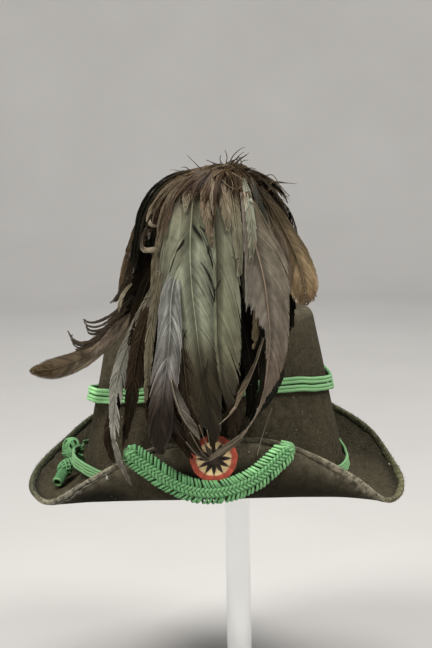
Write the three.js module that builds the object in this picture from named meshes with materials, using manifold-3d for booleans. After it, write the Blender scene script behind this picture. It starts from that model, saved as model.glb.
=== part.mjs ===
// Feathered felt hat on a clear display stand. Millimetres, +Z up, front toward -Y.
// Origin: middle of the stand's foot on the floor, on the rod's axis.
import * as THREE from 'three';
import { mergeVertices } from 'three/addons/utils/BufferGeometryUtils.js';
import Module from 'manifold-3d';

// ---------------------------------------------------------------- driving sizes
const ROD_X = 17.7;          // rod axis, to the right of the crown's middle
const FOLD_Z = 196;          // height of the front fold's underside above the floor
const GAP = 0.35;            // air between neighbouring pieces

const WALL = 2.4;            // felt thickness
const CROWN_A = 105.3;       // crown's outer half length at fold height
const CROWN_RATIO = 0.785;   // half width over half length
const CROWN_TAPER = 0.2;     // inward lean per unit height
const CROWN_TOP = 130.8;     // middle of the wall at the edge of the crown's top
const CROWN_DOME = 3.0;      // rise of the top's middle
const SHOULDER = 8;          // radius between top and side
const BREAK_SIDE = 0;        // foot of the crown at the two ends
const BREAK_FRONT = 6;       // foot of the crown at front and back

const RIM_X = 149, RIM_X_MID = 1.8, RIM_Y = 97;   // brim edge seen from above
// height of the brim's edge round the hat, 0 = right end, 90 = back, 270 = front
const RIM = [
  { deg: 0, z: -9.5 }, { deg: 15, z: 0.5 }, { deg: 30, z: 20 }, { deg: 45, z: 33.7 },
  { deg: 60, z: 46 }, { deg: 75, z: 52 }, { deg: 90, z: 54 }, { deg: 105, z: 51 },
  { deg: 120, z: 43 }, { deg: 135, z: 30.8 }, { deg: 150, z: 14 }, { deg: 165, z: 3 },
  { deg: 180, z: -5 }, { deg: 195, z: -9 }, { deg: 210, z: -10 }, { deg: 225, z: 7 },
  { deg: 240, z: 27.5 }, { deg: 255, z: 44 }, { deg: 270, z: 48 }, { deg: 285, z: 46.5 },
  { deg: 300, z: 31 }, { deg: 315, z: 9.5 }, { deg: 330, z: -13 }, { deg: 345, z: -16 },
];
// brim section between crown foot and edge: share of the way out, and height, at ends and front
const BELLY = {
  inner: { outEnd: 0.20, outFront: 0.25, zEnd: -13, zFront: -4 },
  outer: { outEnd: 0.72, outFront: 1.12, zEnd: -18, zFront: 2 },
};

const BIND_LEG = 5, BIND_T = 0.8;                  // edge ribbon

const CORD_H = 5.2, CORD_T = 4.2, CORD_PITCH = 6;  // band cords
const BAND = [                                     // middle of the pair, off = slack from the crown
  { deg: 0, z: 71, off: 1.0 }, { deg: 25, z: 77, off: 1.8 }, { deg: 60, z: 77, off: 0.6 },
  { deg: 90, z: 75, off: 0.6 }, { deg: 135, z: 70, off: 0.6 }, { deg: 180, z: 65, off: 2.4 },
  { deg: 225, z: 72, off: 0.8 }, { deg: 270, z: 79, off: 0.6 }, { deg: 310, z: 79, off: 0.6 },
  { deg: 340, z: 74, off: 0.7 },
];

const BRAID_H = 9, BRAID_T = 2.6;                  // flat braid at the crown's foot
const BASE = [
  { deg: 168, z: 12, off: 8.5 }, { deg: 180, z: 8, off: 3 }, { deg: 195, z: 6.5, off: 1.8 },
  { deg: 210, z: 7, off: 1.4 }, { deg: 240, z: 10, off: 1.0 }, { deg: 270, z: 12, off: 0.9 },
  { deg: 300, z: 10, off: 1.0 }, { deg: 330, z: 6.5, off: 1.4 }, { deg: 345, z: 7, off: 1.8 },
  { deg: 360, z: 10, off: 1.6 }, { deg: 380, z: 18, off: 1.0 }, { deg: 420, z: 15, off: 0.8 },
  { deg: 450, z: 13, off: 0.8 }, { deg: 480, z: 13, off: 0.8 }, { deg: 500, z: 13, off: 4 },
  { deg: 519, z: 13, off: 13 },
];
const KNOT = { x: -116.5, y: 27, z: 13, rx: 8.5, ry: 8.5, rz: 9 };
const TASSEL = { from: [-117.4, 17.5, 6], to: [-125.3, -8, -5.6] };
const TASSEL_PROFILE = [                           // along: from the hanging end up to the neck
  { along: 4, r: 0 }, { along: 4, r: 2.6 }, { along: 0, r: 2.8 }, { along: 0, r: 4.1 },
  { along: 12, r: 4.3 }, { along: 14, r: 5.8 }, { along: 20, r: 6.0 }, { along: 25, r: 4.0 },
  { along: 27.5, r: 2.4 }, { along: 28, r: 0 },
];

const FEST_W = 17, FEST_T = 7.2;                   // thick plait on the front flap
const FESTOON = [
  { x: -62, z: 41 }, { x: -46.5, z: 30.3 }, { x: -32, z: 20 }, { x: -17.6, z: 12.8 },
  { x: -1.7, z: 10.5 }, { x: 15, z: 13.4 }, { x: 30.3, z: 21.3 }, { x: 44, z: 33 }, { x: 55, z: 43.8 },
];

const COCKADE = { x: -0.5, z: 36.2, r: 15.8, t: 2.2, pleats: 12, pleat: 0.7, hub: 4 };

// plume's outer form: half = half width, front/back = reach in y
const PLUME = [
  { z: 38, x: -14, half: 30, front: -115, back: -100 }, { z: 52, x: -14, half: 46, front: -116, back: -70 },
  { z: 72, x: -12, half: 56, front: -116, back: -50 }, { z: 104, x: -6, half: 64, front: -115, back: -40 },
  { z: 138, x: 0, half: 76, front: -113, back: -12 }, { z: 155, x: 3, half: 76, front: -112, back: -2 },
  { z: 180, x: 1, half: 67, front: -109, back: -4 }, { z: 205, x: 0, half: 61, front: -104, back: -12 },
  { z: 226, x: 0, half: 51, front: -96, back: -24 }, { z: 240, x: 2, half: 36, front: -84, back: -36 },
  { z: 246, x: 4, half: 9, front: -66, back: -50 },
];
const STRAY = [                                    // one long feather standing off to the left
  { x: -52, y: -78, z: 158, w: 8 }, { x: -76, y: -70, z: 126, w: 9 },
  { x: -98, y: -58, z: 104, w: 9 }, { x: -120, y: -48, z: 93, w: 8 }, { x: -139, y: -41, z: 89, w: 3 },
];
const STRAY_T = 3;
const CLEAR = [                                    // air kept between plume and crown
  { z: -30, off: 13 }, { z: 92, off: 13 }, { z: 100, off: 2 }, { z: 128, off: 2 }, { z: 136.6, off: -4 },
];
const STEM_R = 2.4;
const STEM = [
  { x: 0, y: -85.5, z: 20 }, { x: 0, y: -81, z: 50 }, { x: 0, y: -79.2, z: 80 },
  { x: 1, y: -74, z: 120 }, { x: 3, y: -66, z: 170 }, { x: 6, y: -58, z: 228 },
];

const ROD_R = 10, TOP_R = 40, TOP_T = 8, TOP_Z = 129.9;
const FOOT_R = 80, FOOT_T = 10, FOOT_BEVEL = 1;

// ---------------------------------------------------------------- small helpers
const V = (x, y, z) => new THREE.Vector3(x, y, z);
const rad = THREE.MathUtils.degToRad;
const mix = (a, b, k) => a + (b - a) * k;

function spline(p0, p1, p2, p3, k) {
  const a = (p2 - p0) / 2, b = (p3 - p1) / 2;
  return (2 * p1 - 2 * p2 + a + b) * k ** 3 + (-3 * p1 + 3 * p2 - 2 * a - b) * k * k + a * k + p1;
}
// value of a table's column at an angle; rows run once round the hat
function ringColumn(rows, column, deg) {
  const n = rows.length, d = ((deg % 360) + 360) % 360;
  let i = n - 1;
  for (let j = 0; j < n; j++) if (rows[j].deg <= d) i = j;
  const at = (j) => rows[((j % n) + n) % n];
  const d0 = at(i).deg, d1 = i === n - 1 ? at(0).deg + 360 : at(i + 1).deg;
  return spline(at(i - 1)[column], at(i)[column], at(i + 1)[column], at(i + 2)[column], (d - d0) / (d1 - d0));
}
// value of a table's column at a key; rows run from end to end
function rowColumn(rows, key, column, k) {
  const n = rows.length;
  let i = 0;
  while (i < n - 2 && rows[i + 1][key] <= k) i++;
  const at = (j) => rows[Math.min(n - 1, Math.max(0, j))][column];
  const f = THREE.MathUtils.clamp((k - rows[i][key]) / (rows[i + 1][key] - rows[i][key]), 0, 1);
  return spline(at(i - 1), at(i), at(i + 1), at(i + 2), f);
}
// closed solid through rings of equal count; a ring loop is joined to itself, an open run gets end fans
function loft(rings, { loop = false, first = null, last = null } = {}) {
  const n = rings[0].length, m = rings.length, pos = [], idx = [];
  for (const r of rings) for (const p of r) pos.push(p.x, p.y, p.z);
  for (let i = 0; i < (loop ? m : m - 1); i++) {
    const a = i * n, b = ((i + 1) % m) * n;
    for (let j = 0; j < n; j++) {
      const k = (j + 1) % n;
      idx.push(a + j, b + j, b + k, a + j, b + k, a + k);
    }
  }
  if (!loop) {
    const centre = (r) => r.reduce((s, p) => s.add(p), V(0, 0, 0)).divideScalar(n);
    const c0 = first ?? centre(rings[0]), c1 = last ?? centre(rings[m - 1]);
    const i0 = pos.length / 3;
    pos.push(c0.x, c0.y, c0.z, c1.x, c1.y, c1.z);
    for (let j = 0; j < n; j++) {
      const k = (j + 1) % n, e = (m - 1) * n;
      idx.push(i0, j, k, i0 + 1, e + k, e + j);
    }
  }
  const g = new THREE.BufferGeometry();
  g.setAttribute('position', new THREE.Float32BufferAttribute(pos, 3));
  let vol = 0;
  for (let i = 0; i < idx.length; i += 3) {
    const p = [0, 1, 2].map((q) => V().fromArray(pos, idx[i + q] * 3));
    vol += p[0].dot(p[1].cross(p[2]));
  }
  if (vol < 0) for (let i = 0; i < idx.length; i += 3) [idx[i + 1], idx[i + 2]] = [idx[i + 2], idx[i + 1]];
  g.setIndex(idx);
  g.computeVertexNormals();
  return g;
}

// ---------------------------------------------------------------- felt surface
const half = (z) => CROWN_A - CROWN_TAPER * z;             // outer half length at a height
const midA = (z) => half(z) - WALL / 2, midB = (z) => half(z) * CROWN_RATIO - WALL / 2;
const LEAN = Math.atan(CROWN_TAPER), SH_END = Math.PI / 2 - LEAN;
const SH_Z = CROWN_TOP - SHOULDER * (1 - Math.cos(SH_END));

// middle of the felt: s 0..1 top, 1..1.3 shoulder, 1.3..2 side, 2..3 brim
function feltMid(s, t) {
  const c = Math.cos(t), sn = Math.sin(t);
  const topA = midA(SH_Z) - SHOULDER * Math.sin(SH_END), topB = midB(SH_Z) - SHOULDER * Math.sin(SH_END);
  if (s <= 1) return V(topA * s * c, topB * s * sn, CROWN_TOP + CROWN_DOME * (1 - s * s));
  if (s <= 1.3) {
    const f = ((s - 1) / 0.3) * SH_END, o = SHOULDER * Math.sin(f);
    return V((topA + o) * c, (topB + o) * sn, CROWN_TOP - SHOULDER * (1 - Math.cos(f)));
  }
  const w = sn * sn, foot = mix(BREAK_SIDE, BREAK_FRONT, w);
  if (s <= 2) {
    const z = mix(SH_Z, foot, (s - 1.3) / 0.7);
    return V(midA(z) * c, midB(z) * sn, z);
  }
  const k = s - 2, q = 1 - k;
  const p0 = V(midA(foot) * c, midB(foot) * sn, foot);
  const p3 = V(RIM_X_MID + RIM_X * c, RIM_Y * sn, ringColumn(RIM, 'z', THREE.MathUtils.radToDeg(t)));
  const ctrl = (b) => {
    const f = mix(b.outEnd, b.outFront, w);
    return V(mix(p0.x, p3.x, f), mix(p0.y, p3.y, f), mix(b.zEnd, b.zFront, w));
  };
  const p1 = ctrl(BELLY.inner), p2 = ctrl(BELLY.outer);
  return p0.multiplyScalar(q ** 3).addScaledVector(p1, 3 * q * q * k).addScaledVector(p2, 3 * q * k * k).addScaledVector(p3, k ** 3);
}
function feltNormal(s, t) {
  const e = 1e-3, s0 = Math.max(s - e, 0.01), s1 = Math.min(s + e, 3);
  const du = feltMid(s1, t).sub(feltMid(s0, t)), dt = feltMid(s, t + e).sub(feltMid(s, t - e));
  return du.cross(dt).normalize();
}
// side +1: outside of the crown and trough of the brim; side -1: hollow and outer face of the flap
const felt = (s, t, side, extra = 0) => feltMid(s, t).addScaledVector(feltNormal(s, t), side * (WALL / 2 + extra));

const SEG = 48;
const STATIONS = [0.5, 1, 1.1, 1.2, 1.3, 1.6, 1.9, 2, 2.1, 2.2, 2.3, 2.42, 2.56, 2.72];
const around = (f) => Array.from({ length: SEG }, (_, j) => f((j / SEG) * Math.PI * 2));

// where the edge ribbon's legs end
function legStation(t) {
  const edge = feltMid(3, t);
  let s = 3;
  while (s > 2.8 && feltMid(s, t).distanceTo(edge) < BIND_LEG) s -= 0.002;
  return s;
}
function feltBody() {
  const stations = [...STATIONS.map((s) => () => s), legStation, () => 3];
  const rings = stations.map((s) => around((t) => felt(s(t), t, 1)));
  rings.push(...[...stations].reverse().map((s) => around((t) => felt(s(t), t, -1))));
  const top = CROWN_TOP + CROWN_DOME;
  return loft(rings, { first: V(0, 0, top + WALL / 2), last: V(0, 0, top - WALL / 2) });
}

function brimBinding() {
  const rings = around((t) => {
    const s = legStation(t), out = feltMid(3, t).sub(feltMid(2.97, t)).normalize();
    const at = (side, extra) => felt(s, t, side, extra);
    const tip = (side, extra, push) => felt(3, t, side, extra).addScaledVector(out, push);
    return [
      at(1, GAP + BIND_T), tip(1, GAP + BIND_T, 0.4), tip(1, 0, GAP + BIND_T), tip(-1, 0, GAP + BIND_T),
      tip(-1, GAP + BIND_T, 0.4), at(-1, GAP + BIND_T), at(-1, GAP), tip(-1, GAP, GAP), tip(1, GAP, GAP), at(1, GAP),
    ];
  });
  return loft(rings.reverse(), { loop: true });             // facets follow the felt's own
}

// ---------------------------------------------------------------- cords round the crown
// point off the crown's side, with outward and upward directions
function wall(t, z, off) {
  const a = half(z), b = a * CROWN_RATIO;
  const flat = V(Math.cos(t) / a, Math.sin(t) / b, 0).normalize();
  const n = flat.clone().multiplyScalar(Math.cos(LEAN)).add(V(0, 0, Math.sin(LEAN)));
  const up = flat.clone().multiplyScalar(-Math.sin(LEAN)).add(V(0, 0, Math.cos(LEAN)));
  return { p: V(a * Math.cos(t), b * Math.sin(t), z).addScaledVector(n, off), n, up };
}
// two ribs with a groove between, standing on the crown
const CORD_SECTION = [
  { out: 0.15, up: -0.5 }, { out: 0.75, up: -0.5 }, { out: 1, up: -0.25 }, { out: 0.78, up: 0 },
  { out: 1, up: 0.25 }, { out: 0.75, up: 0.5 }, { out: 0.15, up: 0.5 }, { out: 0, up: 0.25 }, { out: 0, up: -0.25 },
];
function bandCord(shift) {
  return loft(around((t) => {
    const deg = THREE.MathUtils.radToDeg(t);
    const w = wall(t, ringColumn(BAND, 'z', deg) + shift, ringColumn(BAND, 'off', deg));
    return CORD_SECTION.map((q) => w.p.clone().addScaledVector(w.n, q.out * CORD_T).addScaledVector(w.up, q.up * CORD_H));
  }), { loop: true });
}
const STRIP_SECTION = [
  { out: 0, up: -0.42 }, { out: 0.5, up: -0.5 }, { out: 1, up: -0.4 }, { out: 1, up: 0.4 }, { out: 0.5, up: 0.5 }, { out: 0, up: 0.42 },
];
function baseBraid() {
  const n = 52, d0 = BASE[0].deg, d1 = BASE[BASE.length - 1].deg, rings = [];
  for (let i = 0; i <= n; i++) {
    const deg = mix(d0, d1, i / n);
    const w = wall(rad(deg), rowColumn(BASE, 'deg', 'z', deg), rowColumn(BASE, 'deg', 'off', deg));
    rings.push(STRIP_SECTION.map((q) => w.p.clone().addScaledVector(w.n, q.out * BRAID_T).addScaledVector(w.up, q.up * BRAID_H)));
  }
  return loft(rings);
}
function cordKnot() {
  const g = new THREE.SphereGeometry(1, 16, 10);
  g.scale(KNOT.rx, KNOT.ry, KNOT.rz);
  g.translate(KNOT.x, KNOT.y, KNOT.z);
  return g;
}
function cordTassel() {
  const g = new THREE.LatheGeometry(TASSEL_PROFILE.map((q) => new THREE.Vector2(q.r, q.along)), 14);
  const a = V(...TASSEL.to), dir = V(...TASSEL.from).sub(a).normalize();
  g.applyQuaternion(new THREE.Quaternion().setFromUnitVectors(V(0, 1, 0), dir));
  g.translate(a.x, a.y, a.z);
  return g;
}

// ---------------------------------------------------------------- front flap trims
// point on the front flap's outer face at a given x and height
function flapFace(x, z) {
  let lo = Math.PI, hi = Math.PI * 2, s = 3, p;
  for (let i = 0; i < 30; i++) {
    const t = (lo + hi) / 2;
    let s0 = 2.3, s1 = 3;
    for (let j = 0; j < 24; j++) { s = (s0 + s1) / 2; if (felt(s, t, -1).z < z) s0 = s; else s1 = s; }
    p = felt(s, t, -1);
    if (p.x < x) lo = t; else hi = t;
  }
  return p;
}
function frontBraid() {
  const n = 32, c = new THREE.CatmullRomCurve3(FESTOON.map((q) => V(q.x, flapFace(q.x, q.z).y, q.z)));
  const pts = c.getSpacedPoints(n), rings = [];
  for (let i = 0; i <= n; i++) {
    const p = pts[i], tan = pts[Math.min(n, i + 1)].clone().sub(pts[Math.max(0, i - 1)]).normalize();
    const near = Math.min(i, n - i) / n * 10;                 // round off both ends
    const size = near >= 1 ? 1 : Math.sqrt(1 - (1 - near) ** 2) * 0.7 + 0.3;
    const ahead = flapFace(p.x + 3, p.z), behind = flapFace(p.x - 3, p.z);
    const out = V(ahead.y - behind.y, behind.x - ahead.x, 0).normalize();
    const across = tan.clone().cross(out).normalize();
    let stand = 0;                                            // clear the flap's own curve, and the edge ribbon
    for (const k of [-1, -0.5, 0, 0.5, 1]) {
      const q = p.clone().addScaledVector(across, k * FEST_W / 2 * size);
      stand = Math.max(stand, flapFace(q.x, q.z).sub(q).dot(out));
    }
    stand += 0.7 + (near < 2.4 ? GAP + BIND_T : 0);
    const row = [];
    for (let j = 0; j <= 8; j++) {
      const f = (j / 8) * Math.PI;
      row.push(p.clone().addScaledVector(across, Math.cos(f) * FEST_W / 2 * size).addScaledVector(out, stand + Math.sin(f) ** 0.8 * FEST_T * size));
    }
    rings.push(row);
  }
  return loft(rings);
}
function cockade() {
  const seg = COCKADE.pleats * 4, back = flapFace(COCKADE.x, COCKADE.z).y - 1.9;
  const ring = (r, out) => Array.from({ length: seg }, (_, j) => {
    const a = (j / seg) * Math.PI * 2;
    return V(COCKADE.x + r * Math.cos(a), back - out - (out > 0 ? COCKADE.pleat * (r / COCKADE.r) * Math.cos(COCKADE.pleats * a) : 0), COCKADE.z + r * Math.sin(a));
  });
  const { r, t, hub } = COCKADE;
  return loft([ring(r * 0.98, 0), ring(r, 1.1), ring(r * 0.8, t), ring(r * 0.5, t), ring(hub, t - 0.4), ring(hub * 0.8, t + 0.8)],
    { first: V(COCKADE.x, back, COCKADE.z), last: V(COCKADE.x, back - t - 1.2, COCKADE.z) });
}

// ---------------------------------------------------------------- plume
const wasm = await Module();
wasm.setup();
function toSolid(g) {
  const k = g.clone();
  k.deleteAttribute('normal');
  k.deleteAttribute('uv');
  const m = mergeVertices(k, 1e-4);
  return new wasm.Manifold(new wasm.Mesh({ numProp: 3, vertProperties: new Float32Array(m.attributes.position.array), triVerts: new Uint32Array(m.index.array) }));
}
function fromSolid(s) {
  const m = s.getMesh(), g = new THREE.BufferGeometry();
  g.setAttribute('position', new THREE.Float32BufferAttribute(Float32Array.from(m.vertProperties), 3));
  g.setIndex(Array.from(m.triVerts));
  g.computeVertexNormals();
  return g;
}
function rodAlong(rows, r, seg, steps) {
  const c = new THREE.CatmullRomCurve3(rows.map((q) => V(q.x, q.y, q.z)));
  const disc = new THREE.Shape(Array.from({ length: seg }, (_, j) => new THREE.Vector2(r * Math.cos((j / seg) * 2 * Math.PI), r * Math.sin((j / seg) * 2 * Math.PI))));
  return new THREE.ExtrudeGeometry(disc, { steps, extrudePath: c, bevelEnabled: false });
}
function plume() {
  const seg = 32, rings = [];
  for (let i = 0; i < PLUME.length; i++) {
    const q = PLUME[i], ym = (q.front + q.back) / 2, yr = (q.back - q.front) / 2;
    rings.push(Array.from({ length: seg }, (_, j) => {
      const a = (j / seg) * Math.PI * 2, c = Math.cos(a), s = Math.sin(a);
      return V(q.x + q.half * Math.sign(c) * Math.abs(c) ** 0.9, ym + yr * Math.sign(s) * Math.abs(s) ** 0.9, q.z);
    }));
  }
  const strayPts = new THREE.CatmullRomCurve3(STRAY.map((q) => V(q.x, q.y, q.z))).getPoints(16);
  const stray = loft(strayPts.map((p, i) => {
    const k = (i / 16) * (STRAY.length - 1), j = Math.min(STRAY.length - 2, Math.floor(k)), w = mix(STRAY[j].w, STRAY[j + 1].w, k - j);
    const tan = strayPts[Math.min(16, i + 1)].clone().sub(strayPts[Math.max(0, i - 1)]).normalize();
    const out = V(-0.45, -0.85, 0.25).normalize(), wide = tan.clone().cross(out).normalize();
    const thick = wide.clone().cross(tan).normalize();
    return Array.from({ length: 8 }, (_, m) => p.clone().addScaledVector(wide, w * Math.cos(m * Math.PI / 4)).addScaledVector(thick, STRAY_T / 2 * Math.sin(m * Math.PI / 4)));
  }));
  const crown = loft(CLEAR.map((q) => around((t) => V((half(q.z) + q.off) * Math.cos(t), (half(q.z) * CROWN_RATIO + q.off) * Math.sin(t), q.z))));
  const trough = new THREE.BoxGeometry(260, 160, 100);
  trough.translate(0, 80 - 107.2, 2.6);
  return fromSolid(toSolid(loft(rings)).add(toSolid(stray)).subtract(toSolid(crown)).subtract(toSolid(trough))
    .subtract(toSolid(rodAlong([...STEM, { x: 6.5, y: -57.5, z: 230 }], STEM_R + GAP + 0.3, 8, 17))));
}

// ---------------------------------------------------------------- stand (own frame, foot on the floor)
const turned = (rows, seg) => {
  const g = new THREE.LatheGeometry(rows.map((q) => new THREE.Vector2(q.r, q.z)), seg);
  g.rotateX(Math.PI / 2);
  return g;
};
const footPlate = () => turned([
  { r: 0, z: 0 }, { r: FOOT_R - FOOT_BEVEL, z: 0 }, { r: FOOT_R, z: FOOT_BEVEL },
  { r: FOOT_R, z: FOOT_T - FOOT_BEVEL }, { r: FOOT_R - FOOT_BEVEL, z: FOOT_T }, { r: 0, z: FOOT_T }], 48);
const rod = () => {
  const z1 = FOLD_Z + TOP_Z - TOP_T - GAP;
  return turned([{ r: 0, z: FOOT_T + GAP }, { r: ROD_R, z: FOOT_T + GAP }, { r: ROD_R, z: z1 }, { r: 0, z: z1 }], 32);
};
const topDisc = () => {
  const z0 = FOLD_Z + TOP_Z - TOP_T, z1 = FOLD_Z + TOP_Z;
  return turned([{ r: 0, z: z0 }, { r: TOP_R - 1, z: z0 }, { r: TOP_R, z: z0 + 1 }, { r: TOP_R, z: z1 - 1 }, { r: TOP_R - 1, z: z1 }, { r: 0, z: z1 }], 40);
};

// ---------------------------------------------------------------- assembly
const paint = (color, roughness, extra = {}) => new THREE.MeshStandardMaterial({ color, roughness, metalness: 0, ...extra });
const FELT = 0x2a2622, RIBBON = 0x4f5a3c, CORD = 0x2f8a5e, FEATHER = 0x4a443d;
const clear = () => paint(0xdfe6e6, 0.08, { transparent: true, opacity: 0.3 });

const group = new THREE.Group();
const hat = (name, geometry, material) => {
  geometry.translate(-ROD_X, 0, FOLD_Z);
  const m = new THREE.Mesh(geometry, material);
  m.name = name;
  group.add(m);
};
const stand = (name, geometry) => {
  const m = new THREE.Mesh(geometry, clear());
  m.name = name;
  group.add(m);
};
hat('felt_body', feltBody(), paint(FELT, 0.95));
hat('brim_binding', brimBinding(), paint(RIBBON, 0.9));
hat('band_cord_upper', bandCord(CORD_PITCH / 2), paint(CORD, 0.75));
hat('band_cord_lower', bandCord(-CORD_PITCH / 2), paint(CORD, 0.75));
hat('base_braid', baseBraid(), paint(CORD, 0.75));
hat('cord_knot', cordKnot(), paint(CORD, 0.75));
hat('cord_tassel', cordTassel(), paint(CORD, 0.75));
hat('front_braid', frontBraid(), paint(CORD, 0.75));
hat('cockade', cockade(), paint(0xa8322a, 0.7));
hat('plume', plume(), paint(FEATHER, 0.55));
hat('plume_stem', rodAlong(STEM, STEM_R, 8, 16), paint(0xb8a98a, 0.6));
stand('stand_top', topDisc());
stand('stand_rod', rod());
stand('stand_base', footPlate());
export default group;
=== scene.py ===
import math
import bpy
import numpy as np
from mathutils import Matrix, Vector


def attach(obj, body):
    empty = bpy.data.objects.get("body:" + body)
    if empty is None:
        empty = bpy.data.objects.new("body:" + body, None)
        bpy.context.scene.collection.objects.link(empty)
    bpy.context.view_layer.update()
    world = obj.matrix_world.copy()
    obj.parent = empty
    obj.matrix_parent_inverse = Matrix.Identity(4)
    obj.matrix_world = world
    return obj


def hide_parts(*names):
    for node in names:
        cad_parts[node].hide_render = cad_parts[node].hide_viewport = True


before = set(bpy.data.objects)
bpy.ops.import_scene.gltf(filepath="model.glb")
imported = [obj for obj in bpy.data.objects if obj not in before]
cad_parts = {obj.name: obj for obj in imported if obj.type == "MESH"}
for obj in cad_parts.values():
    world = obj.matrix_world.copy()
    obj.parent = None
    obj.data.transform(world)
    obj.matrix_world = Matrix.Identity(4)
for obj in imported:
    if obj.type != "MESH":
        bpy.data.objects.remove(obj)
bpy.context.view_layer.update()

rng = np.random.default_rng(20260731)
PI = math.pi

# ------------------------------------------------------------------ shared sizes (mm, hat frame)
ROD_X, FOLD_Z = 17.7, 196.0
SHIFT = np.array([-ROD_X, 0.0, FOLD_Z])
WALL = 2.4
CROWN_A, CROWN_RATIO, CROWN_TAPER = 105.3, 0.785, 0.2
CROWN_TOP, CROWN_DOME, SHOULDER = 130.8, 3.0, 8.0
BREAK_SIDE, BREAK_FRONT = 0.0, 6.0
RIM_X, RIM_X_MID, RIM_Y = 149.0, 1.8, 97.0
RIM_DEG = np.arange(0, 360, 15.0)
RIM_Z = np.array([-9.5, 0.5, 20, 33.7, 46, 52, 54, 51, 43, 30.8, 14, 3, -5, -9, -10, 7, 27.5, 44, 48, 46.5, 31, 9.5, -13, -16])
INNER = dict(outEnd=0.20, outFront=0.25, zEnd=-13, zFront=-4)
OUTER = dict(outEnd=0.72, outFront=1.12, zEnd=-18, zFront=2)
GAP, BIND_LEG, BIND_T = 0.35, 5.0, 0.8
CORD_H, CORD_T, CORD_PITCH = 5.2, 4.2, 6.0
BAND = np.array([[0, 71, 1.0], [25, 77, 1.8], [60, 77, .6], [90, 75, .6], [135, 70, .6], [180, 65, 2.4], [225, 72, .8], [270, 79, .6], [310, 79, .6], [340, 74, .7]])
BRAID_H, BRAID_T = 9.0, 2.6
BASE = np.array([[168, 12, 8.5], [180, 8, 3], [195, 6.5, 1.8], [210, 7, 1.4], [240, 10, 1.0], [270, 12, .9], [300, 10, 1.0], [330, 6.5, 1.4],
                 [345, 7, 1.8], [360, 10, 1.6], [380, 18, 1.0], [420, 15, .8], [450, 13, .8], [480, 13, .8], [500, 13, 4], [519, 13, 13]])
KNOT = np.array([-116.5, 27.0, 13.0])
TAS_A, TAS_B = np.array([-117.4, 17.5, 6.0]), np.array([-125.3, -8.0, -5.6])
FEST_W, FEST_T = 17.0, 7.2
FESTOON = np.array([[-62, 41], [-46.5, 30.3], [-32, 20], [-17.6, 12.8], [-1.7, 10.5], [15, 13.4], [30.3, 21.3], [44, 33], [55, 43.8]])
COCK = dict(x=-0.5, z=36.2, r=15.8, t=2.2, hub=4.0)
PL_Z = np.array([38, 52, 72, 104, 138, 155, 180, 205, 226, 240, 246.0])
PL_X = np.array([-14, -14, -12, -6, 0, 3, 1, 0, 0, 2, 4.0])
PL_H = np.array([30, 46, 56, 64, 76, 76, 67, 61, 51, 36, 9.0])
PL_F = np.array([-115, -116, -116, -115, -113, -112, -109, -104, -96, -84, -66.0])
PL_B = np.array([-100, -70, -50, -40, -12, -2, -4, -12, -24, -36, -50.0])
ROD_R, TOP_R, TOP_T, TOP_Z, FOOT_R, FOOT_T = 10.0, 40.0, 8.0, 129.9, 80.0, 10.0

# ------------------------------------------------------------------ camera (picture 432 x 648)
FOC, DIST, PITCH, ROLL = 1266.0, 1000.0, math.radians(8.5), math.radians(1.1)
TGT = np.array([3.5, 0.0, 118.4])
FWD = np.array([0, math.cos(PITCH), -math.sin(PITCH)])
_r0 = np.array([1.0, 0, 0])
_u0 = np.cross(_r0, FWD)
RIGHT = math.cos(ROLL) * _r0 - math.sin(ROLL) * _u0
UP = math.sin(ROLL) * _r0 + math.cos(ROLL) * _u0
CAM = TGT - DIST * FWD


def px(u, v, y):
    """Point at depth y that shows at picture place (u, v)."""
    d = FWD + RIGHT * (u - 216.0) / FOC + UP * (324.0 - v) / FOC
    return CAM + d * ((y - CAM[1]) / d[1])


cam_data = bpy.data.cameras.new("camera")
cam = bpy.data.objects.new("camera", cam_data)
bpy.context.scene.collection.objects.link(cam)
cam_data.sensor_width = 36.0
cam_data.lens = FOC * 36.0 / 648.0
cam_data.clip_start, cam_data.clip_end = 0.05, 50
_m = Matrix([[RIGHT[0], UP[0], -FWD[0], 0], [RIGHT[1], UP[1], -FWD[1], 0], [RIGHT[2], UP[2], -FWD[2], 0], [0, 0, 0, 1]])
cam.matrix_world = Matrix.Translation(Vector((CAM + SHIFT) / 1000.0)) @ _m
bpy.context.scene.camera = cam

# ------------------------------------------------------------------ curves and felt surface


def spl(p0, p1, p2, p3, k):
    a, b = (p2 - p0) / 2, (p3 - p1) / 2
    return (2 * p1 - 2 * p2 + a + b) * k ** 3 + (-3 * p1 + 3 * p2 - 2 * a - b) * k * k + a * k + p1


def ring_col(rows, vals, deg):
    d = np.mod(deg, 360.0)
    n = len(rows)
    i = np.searchsorted(rows, d, side="right") - 1
    d0 = rows[i]
    d1 = np.where(i == n - 1, rows[0] + 360.0, rows[(i + 1) % n])
    return spl(vals[(i - 1) % n], vals[i], vals[(i + 1) % n], vals[(i + 2) % n], (d - d0) / (d1 - d0))


def row_col(rows, vals, key):
    n = len(rows)
    i = np.clip(np.searchsorted(rows, key, side="right") - 1, 0, n - 2)
    k = np.clip((key - rows[i]) / (rows[i + 1] - rows[i]), 0, 1)
    return spl(vals[np.maximum(i - 1, 0)], vals[i], vals[i + 1], vals[np.minimum(i + 2, n - 1)], k)


def mix(a, b, k):
    return a + (b - a) * k


def half(z):
    return CROWN_A - CROWN_TAPER * z


LEAN = math.atan(CROWN_TAPER)
SH_END = PI / 2 - LEAN
SH_Z = CROWN_TOP - SHOULDER * (1 - math.cos(SH_END))


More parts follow.
